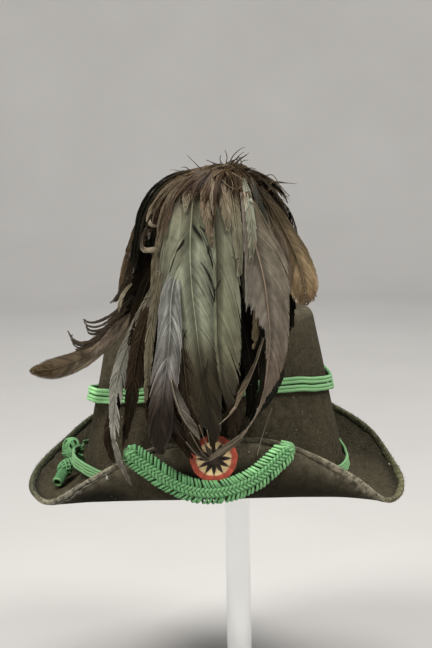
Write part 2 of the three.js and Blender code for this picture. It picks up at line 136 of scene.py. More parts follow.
def felt_mid(s, t):
    s, t = np.broadcast_arrays(np.asarray(s, float), np.asarray(t, float))
    c, sn = np.cos(t), np.sin(t)
    ma = lambda z: half(z) - WALL / 2
    mb = lambda z: half(z) * CROWN_RATIO - WALL / 2
    ta, tb = ma(SH_Z) - SHOULDER * math.sin(SH_END), mb(SH_Z) - SHOULDER * math.sin(SH_END)
    top = np.stack([ta * s * c, tb * s * sn, CROWN_TOP + CROWN_DOME * (1 - s * s)], -1)
    f = np.clip((s - 1) / 0.3, 0, 1) * SH_END
    o = SHOULDER * np.sin(f)
    sh = np.stack([(ta + o) * c, (tb + o) * sn, CROWN_TOP - SHOULDER * (1 - np.cos(f))], -1)
    w = sn * sn
    foot = mix(BREAK_SIDE, BREAK_FRONT, w)
    z = mix(SH_Z, foot, np.clip((s - 1.3) / 0.7, 0, 1))
    wall = np.stack([ma(z) * c, mb(z) * sn, z], -1)
    k = np.clip(s - 2, 0, 1)[..., None]
    q = 1 - k
    p0 = np.stack([ma(foot) * c, mb(foot) * sn, foot], -1)
    p3 = np.stack([RIM_X_MID + RIM_X * c, RIM_Y * sn, ring_col(RIM_DEG, RIM_Z, np.degrees(t))], -1)

    def ctrl(b):
        fr = mix(b["outEnd"], b["outFront"], w)[..., None]
        p = mix(p0, p3, fr)
        return np.concatenate([p[..., :2], mix(b["zEnd"], b["zFront"], w)[..., None]], -1)
    p1, p2 = ctrl(INNER), ctrl(OUTER)
    brim = p0 * q ** 3 + p1 * 3 * q * q * k + p2 * 3 * q * k * k + p3 * k ** 3
    S = s[..., None]
    return np.where(S <= 1, top, np.where(S <= 1.3, sh, np.where(S <= 2, wall, brim)))


def unit(v):
    return v / np.maximum(np.linalg.norm(v, axis=-1, keepdims=True), 1e-12)


def felt_nrm(s, t, e=1e-3):
    s, t = np.broadcast_arrays(np.asarray(s, float), np.asarray(t, float))
    du = felt_mid(np.minimum(s + e, 3), t) - felt_mid(np.maximum(s - e, 0.01), t)
    dt = felt_mid(s, t + e) - felt_mid(s, t - e)
    return unit(np.cross(du, dt))


def wobble(p):
    """Slow dents of old felt, under a millimetre."""
    x, y, z = p[..., 0], p[..., 1], p[..., 2]
    return (0.34 * np.sin(x / 17 + 1.3) * np.cos(y / 23 + z / 31) + 0.26 * np.sin(y / 13 - x / 29 + 2.1) + 0.2 * np.sin(z / 9 + x / 21)
            + 0.12 * np.sin(x / 6.1 + z / 7.3) * np.sin(y / 5.7 + 0.4))


def felt(s, t, side, extra=0.0, dents=1.0):
    m = felt_mid(s, t)
    return m + felt_nrm(s, t) * (side * (WALL / 2 + extra) + dents * 0.55 * wobble(m))[..., None]


def flap_face(x, z):
    """Point on the front flap's outer face."""
    x, z = np.broadcast_arrays(np.asarray(x, float), np.asarray(z, float))
    lo, hi = np.full(x.shape, PI), np.full(x.shape, 2 * PI)
    for _ in range(26):
        t = (lo + hi) / 2
        s0, s1 = np.full(x.shape, 2.3), np.full(x.shape, 3.0)
        for _ in range(20):
            s = (s0 + s1) / 2
            low = felt(s, t, -1, 0, 0)[..., 2] < z
            s0, s1 = np.where(low, s, s0), np.where(low, s1, s)
        p = felt(s, t, -1, 0, 0)
        left = p[..., 0] < x
        lo, hi = np.where(left, t, lo), np.where(left, hi, t)
    return p


def crown_wall(t, z, off):
    a = half(z)
    b = a * CROWN_RATIO
    flat = unit(np.stack([np.cos(t) / a, np.sin(t) / b, 0 * t], -1))
    up0 = np.array([0, 0, 1.0])
    n = flat * math.cos(LEAN) + up0 * math.sin(LEAN)
    up = -flat * math.sin(LEAN) + up0 * math.cos(LEAN)
    return np.stack([a * np.cos(t), b * np.sin(t), z + 0 * t], -1) + n * np.asarray(off)[..., None], n, up


# ------------------------------------------------------------------ meshes
class Parts:
    """Gathers triangles with a colour for each corner point."""

    def __init__(self):
        self.v, self.f, self.c, self.n = [], [], [], 0

    def add(self, v, f, c):
        v = np.asarray(v, float).reshape(-1, 3)
        c = np.broadcast_to(np.asarray(c, float), (len(v), 3)) if np.ndim(c) == 1 else np.asarray(c, float).reshape(-1, 3)
        self.v.append(v)
        self.c.append(c)
        self.f.append(np.asarray(f, int).reshape(-1, 3) + self.n)
        self.n += len(v)

    def tris(self):
        return sum(len(f) for f in self.f)

    def build(self, name, mat, smooth=True):
        v, f, c = np.concatenate(self.v), np.concatenate(self.f), np.concatenate(self.c)
        me = bpy.data.meshes.new(name)
        me.vertices.add(len(v))
        me.vertices.foreach_set("co", ((v + SHIFT) / 1000.0).ravel())
        me.loops.add(len(f) * 3)
        me.loops.foreach_set("vertex_index", f.ravel())
        me.polygons.add(len(f))
        me.polygons.foreach_set("loop_start", np.arange(0, len(f) * 3, 3))
        me.polygons.foreach_set("use_smooth", np.full(len(f), smooth))
        at = me.color_attributes.new("tint", "FLOAT_COLOR", "POINT")
        at.data.foreach_set("color", np.concatenate([c, np.ones((len(c), 1))], 1).ravel())
        me.update()
        me.validate()
        me.materials.append(mat)
        ob = bpy.data.objects.new(name, me)
        bpy.context.scene.collection.objects.link(ob)
        return ob


def loft_faces(m, n, loop=False):
    """Triangles between m rings of n points."""
    i = np.arange(m if loop else m - 1)[:, None]
    j = np.arange(n)[None, :]
    a, b = i * n, ((i + 1) % m) * n
    k = (j + 1) % n
    A, B, C, D = a + j, b + j, b + k, a + k
    return np.concatenate([np.stack([A, B, C], -1).reshape(-1, 3), np.stack([A, C, D], -1).reshape(-1, 3)])


def loft(rings, loop=False, first=None, last=None):
    """rings (m, n, 3) -> points, triangles, closed and facing out."""
    rings = np.asarray(rings, float)
    m, n = rings.shape[:2]
    v = rings.reshape(-1, 3)
    f = loft_faces(m, n, loop)
    if not loop:
        c0 = rings[0].mean(0) if first is None else first
        c1 = rings[-1].mean(0) if last is None else last
        j = np.arange(n)
        k = (j + 1) % n
        e = (m - 1) * n
        f = np.concatenate([f, np.stack([np.full(n, m * n), j, k], -1), np.stack([np.full(n, m * n + 1), e + k, e + j], -1)])
        v = np.concatenate([v, [c0, c1]])
    p = v[f]
    if np.einsum("ij,ij->i", p[:, 0], np.cross(p[:, 1], p[:, 2])).sum() < 0:
        f = f[:, [0, 2, 1]]
    return v, f


def smooth_path(pts, n, closed=False):
    """Evenly spaced points on a smooth curve through pts."""
    pts = np.asarray(pts, float)
    m = len(pts)
    k = np.linspace(0, m if closed else m - 1, 24 * m + 1)
    i = np.minimum(k.astype(int), (m - 1) if closed else m - 2)
    fr = (k - i)[:, None]
    if closed:
        q = spl(pts[(i - 1) % m], pts[i % m], pts[(i + 1) % m], pts[(i + 2) % m], fr)
    else:
        ext = np.concatenate([[2 * pts[0] - pts[1]], pts, [2 * pts[-1] - pts[-2]]])
        q = spl(ext[i], ext[i + 1], ext[i + 2], ext[i + 3], fr)
    d = np.r_[0, np.cumsum(np.linalg.norm(np.diff(q, axis=0), axis=1))]
    s = np.linspace(0, d[-1], n + 1)[:-1] if closed else np.linspace(0, d[-1], n)
    return np.stack([np.interp(s, d, q[:, a]) for a in range(3)], -1), d[-1]


def tangents(p, closed=False):
    if closed:
        return unit(np.roll(p, -1, 0) - np.roll(p, 1, 0))
    return unit(np.gradient(p, axis=0))


def tube(p, r, sides=8, closed=False, ref=None, ply=0, pitch=4.0, depth=0.12, flat=1.0):
    """Round cord along p; ply > 0 gives it twisted strands."""
    p = np.asarray(p, float)
    t = tangents(p, closed)
    if ref is None:
        ref = np.array([0.13, 0.21, 0.97])
    ref = np.broadcast_to(ref, p.shape)
    a = unit(ref - t * (ref * t).sum(-1, keepdims=True))
    b = np.cross(t, a)
    th = np.arange(sides) / sides * 2 * PI
    s = np.r_[0, np.cumsum(np.linalg.norm(np.diff(p, axis=0), axis=1))]
    rr = np.broadcast_to(np.asarray(r, float), (len(p),))[:, None] * np.ones((1, sides))
    if ply:
        turns = s / pitch
        if closed:
            turns = s / s[-1] * round(s[-1] / pitch) * (len(p) - 1) / len(p)
        rr = rr * (1 - depth + depth * np.abs(np.cos((th[None, :] - 2 * PI * turns[:, None]) * ply / 2)) * 1.6)
    ring = p[:, None, :] + a[:, None, :] * (np.cos(th)[None, :] * rr)[..., None] + b[:, None, :] * (np.sin(th)[None, :] * rr * flat)[..., None]
    return loft(ring, loop=closed)


# ------------------------------------------------------------------ materials
def node_mat(name, rough=0.8, sheen=0.0, spec=0.5):
    m = bpy.data.materials.new(name)
    m.use_nodes = True
    nt = m.node_tree
    b = nt.nodes["Principled BSDF"]
    b.inputs["Roughness"].default_value = rough
    b.inputs["Sheen Weight"].default_value = sheen
    b.inputs["Specular IOR Level"].default_value = spec
    return m, nt, b


def add(nt, kind, **kw):
    n = nt.nodes.new(kind)
    for k, v in kw.items():
        setattr(n, k, v)
    return n


def noise(nt, coord, scale, detail=4.0, rough=0.55):
    n = add(nt, "ShaderNodeTexNoise")
    n.inputs["Scale"].default_value = scale
    n.inputs["Detail"].default_value = detail
    n.inputs["Roughness"].default_value = rough
    nt.links.new(coord, n.inputs["Vector"])
    return n.outputs["Fac"]


def ramp(nt, fac, stops):
    r = add(nt, "ShaderNodeValToRGB")
    e = r.color_ramp.elements
    while len(e) > 1:
        e.remove(e[-1])
    e[0].position, e[0].color = stops[0][0], (*stops[0][1], 1)
    for p, c in stops[1:]:
        x = e.new(p)
        x.color = (*c, 1)
    nt.links.new(fac, r.inputs["Fac"])
    return r.outputs["Color"]


def mixc(nt, fac, a, b, mode="MIX"):
    n = add(nt, "ShaderNodeMix", data_type="RGBA", blend_type=mode)
    if hasattr(fac, "links"):
        nt.links.new(fac, n.inputs[0])
    else:
        n.inputs[0].default_value = fac
    for s, i in ((a, 6), (b, 7)):
        if hasattr(s, "links"):
            nt.links.new(s, n.inputs[i])
        else:
            n.inputs[i].default_value = (*s, 1)
    return n.outputs[2]


def math_node(nt, op, a, b=0.0, clamp=False):
    n = add(nt, "ShaderNodeMath", operation=op, use_clamp=clamp)
    for s, i in ((a, 0), (b, 1)):
        if hasattr(s, "links"):
            nt.links.new(s, n.inputs[i])
        else:
            n.inputs[i].default_value = s
    return n.outputs[0]


def bump(nt, bsdf, height, strength, dist):
    b = add(nt, "ShaderNodeBump")
    b.inputs["Strength"].default_value = strength
    b.inputs["Distance"].default_value = dist
    nt.links.new(height, b.inputs["Height"])
    nt.links.new(b.outputs["Normal"], bsdf.inputs["Normal"])


def tint_of(nt):
    a = add(nt, "ShaderNodeAttribute", attribute_name="tint")
    return a.outputs["Color"]


def obj_coord(nt):
    return add(nt, "ShaderNodeTexCoord").outputs["Object"]


def specks(nt, co, scale, size):
    """Small pale bits of dust, sparse."""
    vo = add(nt, "ShaderNodeTexVoronoi")
    vo.inputs["Scale"].default_value = scale
    nt.links.new(co, vo.inputs["Vector"])
    dot = ramp(nt, vo.outputs["Distance"], [(0.0, (1, 1, 1)), (size, (0, 0, 0))])
    some = ramp(nt, noise(nt, co, scale * .37, 2), [(0.52, (0, 0, 0)), (0.6, (1, 1, 1))])
    return math_node(nt, "MULTIPLY", dot, some, True)


def felt_material():
    """Worn wool felt; tint red = wear toward the edge with painted highlight on the flap's upper edge and round the
    crown's shoulder, green = dust, blue = painted shade.
    """
    m, nt, b = node_mat("felt_worn", 0.95, 0.012, 0.05)
    b.inputs["Sheen Roughness"].default_value = 0.5
    b.inputs["Sheen Tint"].default_value = (0.5, 0.46, 0.38, 1)
    co = obj_coord(nt)
    sep = add(nt, "ShaderNodeSeparateColor")
    nt.links.new(tint_of(nt), sep.inputs[0])
    big, mid, grain, fine = noise(nt, co, 26, 6, 0.65), noise(nt, co, 150, 5, 0.65), noise(nt, co, 420, 4, 0.7), noise(nt, co, 1100, 3, 0.7)
    base = ramp(nt, big, [(0.3, (0.040, 0.034, 0.0215)), (0.5, (0.052, 0.044, 0.0275)), (0.72, (0.070, 0.059, 0.037))])
    base = mixc(nt, ramp(nt, mid, [(0.36, (0.35, 0.35, 0.35)), (0.52, (0, 0, 0))]), base, (0.016, 0.013, 0.008))
    base = mixc(nt, ramp(nt, grain, [(0.5, (0, 0, 0)), (0.72, (0.75, 0.75, 0.75))]), base, (0.105, 0.090, 0.058))
    base = mixc(nt, ramp(nt, fine, [(0.5, (0, 0, 0)), (0.75, (0.5, 0.5, 0.5))]), base, (0.145, 0.126, 0.085))
    dusty = math_node(nt, "MULTIPLY", sep.outputs[1], ramp(nt, mid, [(0.42, (0, 0, 0)), (0.62, (0.6, 0.6, 0.6))]), True)
    base = mixc(nt, dusty, base, (0.10, 0.088, 0.058))
    # red channel: wear with painted highlight, toward a pale felt colour
    wear_and_highlight = math_node(nt, "MULTIPLY", sep.outputs[0], ramp(nt, noise(nt, co, 95, 6, 0.7), [(0.36, (0.08, 0.08, 0.08)), (0.62, (1, 1, 1))]), True)
    base = mixc(nt, wear_and_highlight, base, (0.26, 0.232, 0.165))
    # blue channel: painted shade, mixing toward a neutral near-black
    base = mixc(nt, sep.outputs[2], base, (0.0105, 0.0100, 0.0082))
    base = mixc(nt, specks(nt, co, 150, 0.10), base, (0.42, 0.40, 0.33))
    nt.links.new(base, b.inputs["Base Color"])
    h = math_node(nt, "ADD", grain, math_node(nt, "MULTIPLY", mid, 1.2))
    bump(nt, b, h, 0.8, 0.0014)
    return m


def ribbon_material():
    """Faded, dusty edge ribbon; tint = colour of the place."""
    m, nt, b = node_mat("edge_ribbon_worn", 0.92, 0.06, 0.15)
    co = obj_coord(nt)
    mid, grain, fine = noise(nt, co, 230, 6, 0.7), noise(nt, co, 520, 4, 0.7), noise(nt, co, 1000, 3, 0.7)
    c = mixc(nt, ramp(nt, mid, [(0.40, (0.8, 0.8, 0.8)), (0.56, (0, 0, 0))]), tint_of(nt), (0.020, 0.018, 0.010))
    c = mixc(nt, ramp(nt, grain, [(0.54, (0, 0, 0)), (0.70, (0.7, 0.7, 0.7))]), c, (0.25, 0.225, 0.15))
    c = mixc(nt, ramp(nt, fine, [(0.3, (0.5, 0.5, 0.5)), (0.5, (0, 0, 0))]), c, (0.02, 0.018, 0.01))
    nt.links.new(c, b.inputs["Base Color"])
    bump(nt, b, math_node(nt, "ADD", grain, mid), 0.8, 0.0012)
    return m


def cord_material():
    m, nt, b = node_mat("green_cord_silk", 0.7, 0.08, 0.2)
    b.inputs["Sheen Roughness"].default_value = 0.4
    b.inputs["Sheen Tint"].default_value = (0.75, 0.95, 0.75, 1)
    co = obj_coord(nt)
    fine, mid = noise(nt, co, 1600, 2, 0.6), noise(nt, co, 60, 4)
    c = mixc(nt, ramp(nt, mid, [(0.35, (0, 0, 0)), (0.7, (0.5, 0.5, 0.5))]), tint_of(nt), (0.145, 0.30, 0.13))
    c = mixc(nt, ramp(nt, fine, [(0.4, (0, 0, 0)), (0.8, (0.5, 0.5, 0.5))]), c, (0.30, 0.52, 0.27))
    nt.links.new(c, b.inputs["Base Color"])
    bump(nt, b, fine, 0.45, 0.0005)
    return m


def feather_material(name, spec, dim):
    m, nt, b = node_mat(name, 0.36, 0.0, spec)
    co = obj_coord(nt)
    fine, mid = noise(nt, co, 1500, 2), noise(nt, co, 85, 5, 0.65)
    c = mixc(nt, ramp(nt, mid, [(0.34, (0.42, 0.42, 0.42)), (0.58, (0, 0, 0))]), tint_of(nt), dim)
    nt.links.new(c, b.inputs["Base Color"])
    nt.links.new(ramp(nt, fine, [(0.3, (0.30, 0.30, 0.30)), (0.7, (0.48, 0.48, 0.48))]), b.inputs["Roughness"])
    return m


def cockade_material():
    m, nt, b = node_mat("pleated_ribbon", 0.6, 0.08, 0.25)
    co = obj_coord(nt)
    fine, mid = noise(nt, co, 1400, 2), noise(nt, co, 220, 4)
    c = mixc(nt, ramp(nt, mid, [(0.4, (0, 0, 0)), (0.72, (0.45, 0.45, 0.45))]), tint_of(nt), (0.10, 0.055, 0.03))
    nt.links.new(c, b.inputs["Base Color"])
    bump(nt, b, fine, 0.25, 0.0003)
    return m


def quill_material():
    m, nt, b = node_mat("quill_plain", 0.5, 0.0, 0.4)
    co = obj_coord(nt)
    nt.links.new(ramp(nt, noise(nt, co, 90, 4), [(0.3, (0.10, 0.075, 0.045)), (0.7, (0.22, 0.18, 0.12))]), b.inputs["Base Color"])
    return m


def clear_material():
    m, nt, b = node_mat("clear_acrylic", 0.04, 0.0, 0.5)
    b.inputs["Base Color"].default_value = (0.93, 0.95, 0.95, 1)
    b.inputs["Transmission Weight"].default_value = 0.96
    b.inputs["IOR"].default_value = 1.49
    co = obj_coord(nt)
    nt.links.new(ramp(nt, noise(nt, co, 60, 4), [(0.35, (0.03, 0.03, 0.03)), (0.7, (0.09, 0.09, 0.09))]), b.inputs["Roughness"])
    return m


FELT, RIBBON, CORD, VANE, COCKADE_M, QUILL, CLEAR = felt_material(), ribbon_material(), cord_material(), feather_material("feather_silky", 0.16, (0.030, 0.023, 0.014)), cockade_material(), quill_material(), clear_material()
VANE_DARK = feather_material("feather_dark", 0.015, (0.006, 0.0045, 0.003))

# ------------------------------------------------------------------ felt body
NT = 260
T = np.arange(NT) / NT * 2 * PI
S_ALL = np.r_[np.linspace(0.08, 1, 9), np.linspace(1.05, 1.3, 6), np.linspace(1.35, 1.95, 20), np.linspace(2.0, 3.0, 34)]


def felt_tint(s, t, side):
    p = felt_mid(s, t)
    s = np.broadcast_to(s, p.shape[:-1])
    edge = np.clip((s - 2.72) / 0.28, 0, 1) ** 1.5
    front = np.clip(-np.sin(t) * 1.3, 0, 1)
    # paler toward the edge: wear, partly painted highlight on the flap's upper edge
    wear_and_highlight = edge * (0.35 + 0.55 * front) if side < 0 else edge * 0.35
    # paler band round the crown's shoulder: painted highlight
    shoulder = np.exp(-((s - 1.12) / 0.16) ** 2) * 0.3
    dg_ = np.degrees(np.mod(t, 2 * PI))
    if side < 0:
        wear_and_highlight = wear_and_highlight * .45 + np.exp(-((dg_ - 234) / 16) ** 2) * np.clip((s - 2.80) / .18, 0, 1) * .5 + np.exp(-((dg_ - 313) / 14) ** 2) * np.clip((s - 2.74) / .26, 0, 1) * .8
    dust = 0.55 * np.clip(np.sin(p[..., 0] / 33 + 1) * np.sin(p[..., 2] / 19 + p[..., 1] / 40), 0, 1) + (0.35 if side < 0 else 0.15)
    # painted shade: the crown's inside, and the flap's face, darker toward its foot and more so at the front left
    painted_shade = np.where(s < 2.05, 0.55, np.clip((2.95 - s) / 0.3, 0, 1) * 0.74 * (1 - .55 * np.exp(-((dg_ - 247) / 8) ** 2))) if side < 0 else np.clip(1 - np.abs(s - 2.05) / 0.16, 0, 1) * 0.3
    if side < 0:
        painted_shade = np.clip(painted_shade + .45 * np.exp(-((dg_ - 229) / 12) ** 2) * np.clip((s - 2.1) / .2, 0, 1) * np.clip((2.93 - s) / .1, 0, 1), 0, .93)
    else:
        # painted shade: the crease where crown meets brim, the crown's upper right, the brim's inner rim near its two
        # ends, and under the tassel
        ends = np.exp(-((dg_ - 192) / 24) ** 2) + np.exp(-((np.mod(dg_ + 180, 360) - 182) / 26) ** 2)
        painted_shade = painted_shade + .3 * np.exp(-((s - 1.53) / .13) ** 2) * np.exp(-((dg_ - 320) / 24) ** 2)
        painted_shade = np.clip(painted_shade + .8 * ends * np.exp(-((s - 2.90) / .09) ** 2) + .6 * np.exp(-((dg_ - 222) / 14) ** 2) * np.exp(-((s - 2.55) / .2) ** 2), 0, .93)
    return np.stack([np.clip(wear_and_highlight + (shoulder if side > 0 else 0), 0, 1), np.clip(dust + 0 * s, 0, 1), painted_shade + 0 * s], -1)


body = Parts()
outer = felt(S_ALL[:, None], T[None, :], 1)
inner = felt(S_ALL[::-1][:, None], T[None, :], -1)
tint = np.concatenate([felt_tint(S_ALL[:, None], T[None, :], 1), felt_tint(S_ALL[::-1][:, None], T[None, :], -1)])
zt = CROWN_TOP + CROWN_DOME
v, f = loft(np.concatenate([outer, inner]), first=np.array([0, 0, zt + WALL / 2]), last=np.array([0, 0, zt - WALL / 2]))
# cap centres: dust, and painted shade on the inner one
body.add(v, f, np.concatenate([tint.reshape(-1, 3), [[0, 0.2, 0], [0, 0.2, 0.5]]]))
felt_ob = body.build("felt_hat_body", FELT)
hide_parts("felt_body")

# ------------------------------------------------------------------ edge ribbon
NB = 720
tb = np.arange(NB) / NB * 2 * PI
edge = felt_mid(3.0, tb)
ss = np.full(NB, 3.0)
LEG_T = mix(3.0, 4.2, np.clip(np.cos(tb) ** 2 + np.sin(tb), 0, 1))
crack = np.clip(1.7 * (1 - np.abs(np.degrees(tb) - 219) / 24), 0, 1)      # stretch where the ribbon has come away
LEG_T = LEG_T + crack * (2.4 + .7 * np.sin(tb * 61) + .5 * np.sin(tb * 97 + 1))
pale_r = np.exp(-((np.degrees(tb) - 313) / 13) ** 2)
LEG_T = LEG_T + pale_r * (3.6 + .8 * np.sin(tb * 71) + .7 * np.sin(tb * 113 + 1))
for _ in range(110):
    go = np.linalg.norm(felt_mid(ss, tb) - edge, axis=-1) < LEG_T + 0.45 * np.sin(tb * 23) + 0.35 * np.sin(tb * 57 + 1)
    ss = np.where(go & (ss > 2.8), ss - 0.002, ss)
out_dir = unit(edge - felt_mid(2.97, tb))
sec = []
fray = 0.12 * np.sin(tb * 131) + 0.1 * np.sin(tb * 83 + 2)
for side, fr in ((1, 0.0), (1, 0.35), (1, 0.7), (1, 1.0)):
    s_ = mix(ss, 3.0, fr)
    sec.append(felt(s_, tb, side, 0.12 + 0.55 * (0.15 if fr == 0 else 0.6 + 0.4 * fr) + 0.06 * fray) + out_dir * (0.25 if fr == 1 else 0))
mid_push = 0.85
for k in (0.72, 0.25, -0.25, -0.72):
    sec.append(felt(3.0, tb, np.sign(k), (abs(k) - 1) * WALL / 2 + (0.7 if abs(k) > .5 else 0)) + out_dir * (mid_push + fray * 0.5 - (0.25 if abs(k) > .5 else 0))[:, None])
wander = 0.10 * np.sin(tb * 29) + 0.06 * np.sin(tb * 67 + 2)
for side, fr in ((-1, 1.0), (-1, 0.8), (-1, 0.58), (-1, 0.54), (-1, 0.44), (-1, 0.40), (-1, 0.0)):
    s_ = mix(ss, 3.0, fr + (wander if .39 < fr < .6 else 0))
    sec.append(felt(s_, tb, side, 0.12 + 0.55 * (0.15 if fr == 0 else 0.6 + 0.4 * fr) + 0.06 * fray - (0.4 * crack if .43 < fr < .55 else 0)) + out_dir * (0.25 if fr == 1 else 0))
for side, fr in ((-1, 0.0), (-1, 1.0), (1, 1.0), (1, 0.0)):
    s_ = mix(ss, 3.0, fr)
    sec.append(felt(s_, tb, side, 0.08) + out_dir * (0.1 if fr == 1 else 0))
rings = np.stack(sec, 1)
right_end = np.clip(np.cos(tb), 0, 1) ** 3
left_end = np.clip(-np.cos(tb), 0, 1) ** 3
frontness = np.clip(-np.sin(tb) * 1.6, 0, 1)
backness = np.clip(np.sin(tb) * 1.8, 0, 1)
dg = np.degrees(tb)
worn = np.clip(np.exp(-((dg - 233) / 15) ** 2) + .6 * np.exp(-((dg - 208) / 9) ** 2) + np.exp(-((dg - 313) / 15) ** 2), 0, 1)
wt = np.stack([right_end * 1.2, left_end, frontness * .8, backness], 1)
col = wt @ np.array([[0.150, 0.145, 0.062], [0.044, 0.046, 0.022], [0.040, 0.034, 0.022], [0.016, 0.024, 0.011]]) / np.maximum(wt.sum(1), 0.2)[:, None]
lip = wt @ np.array([[0.26, 0.25, 0.125], [0.10, 0.105, 0.052], [0.085, 0.074, 0.050], [0.035, 0.048, 0.022]]) / np.maximum(wt.sum(1), 0.2)[:, None]
col = mix(col, np.array([0.13, 0.115, 0.075]), (worn * .75)[:, None])
lip = mix(lip, np.array([0.50, 0.455, 0.33]), (worn * .9)[:, None])
across_mix = np.array([0, .1, .4, .8, 1, 1, 1, 1, .8, .6, .45, .4, .35, .15, 0, 0, 0, 0, 0])
strip = col[:, None, :] * (1 - across_mix)[None, :, None] + lip[:, None, :] * across_mix[None, :, None]
# darker round 26 degrees, at the brim's right end: painted shade
strip *= (1 - .45 * np.exp(-((dg - 26) / 16) ** 2))[:, None, None]
ragged = np.clip(.62 + .5 * np.sin(tb * 87 + 1) * np.sin(tb * 41), 0, 1)
strip[:, 7:15] = mix(strip[:, 7:15], np.array([.44, .39, .29]), (pale_r * ragged)[:, None, None] * np.array([.5, .8, .85, .8, .75, .7, .6, .4])[None, :, None])
strip[:, 8:14] += (crack * .10)[:, None, None]
strip[:, 11:13] *= mix(1, .03, np.clip(crack * 2, 0, 1))[:, None, None]
strip[:, 14] *= mix(.7, .35, crack)[:, None]
v, f = loft(rings, loop=True)
rib = Parts()
rib.add(v, f, strip.reshape(-1, 3))
for k in range(2600):                                        # short fibres standing off the worn edge
    i_ = rng.integers(NB)
    o = edge[i_] + out_dir[i_] * (GAP + BIND_T) * .8 + rng.normal(0, .5, 3)
    d = unit(out_dir[i_] * rng.uniform(.2, 1) + rng.normal(0, .55, 3))
    ln = rng.uniform(.5, 1.5)
    side_ = unit(np.cross(d, [.3, .2, .9])) * .13
    up_ = unit(np.cross(d, side_)) * .13
    tri = np.array([o + side_, o - side_ * .5 + up_ * .87, o - side_ * .5 - up_ * .87, o + d * ln])
    rib.add(tri, [[0, 2, 1], [0, 1, 3], [1, 2, 3], [2, 0, 3]], lip[i_] * rng.uniform(.6, 1.2))


def on_felt(u, v, side, s0, s1):
    """Nearest place of the felt's face that shows at (u, v)."""
    P = felt(np.linspace(s0, s1, 160)[:, None], np.linspace(0, 2 * PI, 900)[None, :], side, .25).reshape(-1, 3)
    d = P - CAM
    dep = d @ FWD
    off_ = np.hypot(216 + FOC * (d @ RIGHT) / dep - u, 324 - FOC * (d @ UP) / dep - v)
    near_ = off_ < 1.2
    return P[near_][np.argmin(dep[near_])] if near_.any() else P[np.argmin(off_)]


for u, v, side, s0, s1, size_ in ((106.5, 478, -1, 2.1, 2.99, 2.5), (249, 453, -1, 2.1, 2.99, 1.2), (388.5, 464, 1, 2.1, 2.96, 1.4), (294, 398, 1, 1.3, 1.95, .7), (148, 486, -1, 2.1, 2.99, .5), (338, 478, -1, 2.1, 2.99, .6), (303, 412, 1, 1.3, 1.95, .42), (318, 431, 1, 1.3, 1.95, .36), (289, 438, 1, 1.3, 1.95, .4), (326, 444, 1, 1.3, 1.95, .34)):
    o = on_felt(u, v, side, s0, s1)
    for _ in range(14):
        d = unit(rng.normal(0, 1, 3) * [1, .35, .7]) * size_ * rng.uniform(.5, 1.3)
        w1, w2 = unit(np.cross(d, [.2, 1, .1])) * .22 * size_, np.array([0, -.25 * size_, 0])
        tri = np.array([o - d * .5 + w1, o - d * .5 - w1, o + w2 - d * .2, o + d])
        rib.add(tri, [[0, 2, 1], [0, 1, 3], [1, 2, 3], [2, 0, 3]], np.array([.95, .93, .84]) * rng.uniform(.8, 1.05))
rib_ob = rib.build("brim_edge_ribbon", RIBBON)
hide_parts("brim_binding")

# ------------------------------------------------------------------ band cords: two ribs each
GREEN = np.array([0.20, 0.41, 0.185])


# painted-shade green: the cords' inner sides, end caps, cores and hidden fillers
SHADE_GREEN = np.array([0.011, 0.062, 0.014])


def shade(v, sides, closed=False, gain=1.0, sharp=1.0):
    """Colours of a cord's points with light and shade painted in: lit green on the side that faces out, painted shade
    in deep green on the side that faces in.
    """
    th = np.arange(sides) / sides * 2 * PI
    k = np.clip(.36 + .85 * np.cos(th), 0, 1)[:, None] ** sharp
    ring = (SHADE_GREEN * (1 - k) + GREEN * gain * k)
    n = (len(v) - (0 if closed else 2)) // sides
    c = np.tile(ring, (n, 1))
    return c if closed else np.concatenate([c, np.tile(SHADE_GREEN, (2, 1))])


def band_cord(name, node, shift):
    ps = Parts()
    n = 640
    t = np.arange(n) / n * 2 * PI
    deg = np.degrees(t)
    z = ring_col(BAND[:, 0], BAND[:, 1], deg) + shift - 4.2 * np.exp(-((deg - 160) / 14) ** 2) + 0.25 * np.sin(t * 9 + shift) + 0.15 * np.sin(t * 23)
    off = ring_col(BAND[:, 0], BAND[:, 2], deg) + 1.2 * np.exp(-((deg - 184) / 9) ** 2)
    for k in (-1, 1):
        p, nn, up = crown_wall(t, z, off + CORD_T * 0.5 + 0.12 * np.sin(t * 14 + k))
        p = p + up * (k * CORD_H * 0.245)
        v, f = tube(p, 1.5, 10, True, nn, ply=2, pitch=3.4, depth=0.10, flat=0.92)
        # brighter round 200 degrees: painted light on the band's left side
        ps.add(v, f, shade(v, 10, True, 1.0) * np.repeat(1.12 + 1.25 * np.exp(-((deg - 200) / 24) ** 2), 10)[:, None])
    ob = ps.build(name, CORD)
    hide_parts(node)
    return ob


pieces = [felt_ob, rib_ob]
pieces.append(band_cord("crown_cord_upper", "band_cord_upper", CORD_PITCH / 2))
pieces.append(band_cord("crown_cord_lower", "band_cord_lower", -CORD_PITCH / 2))

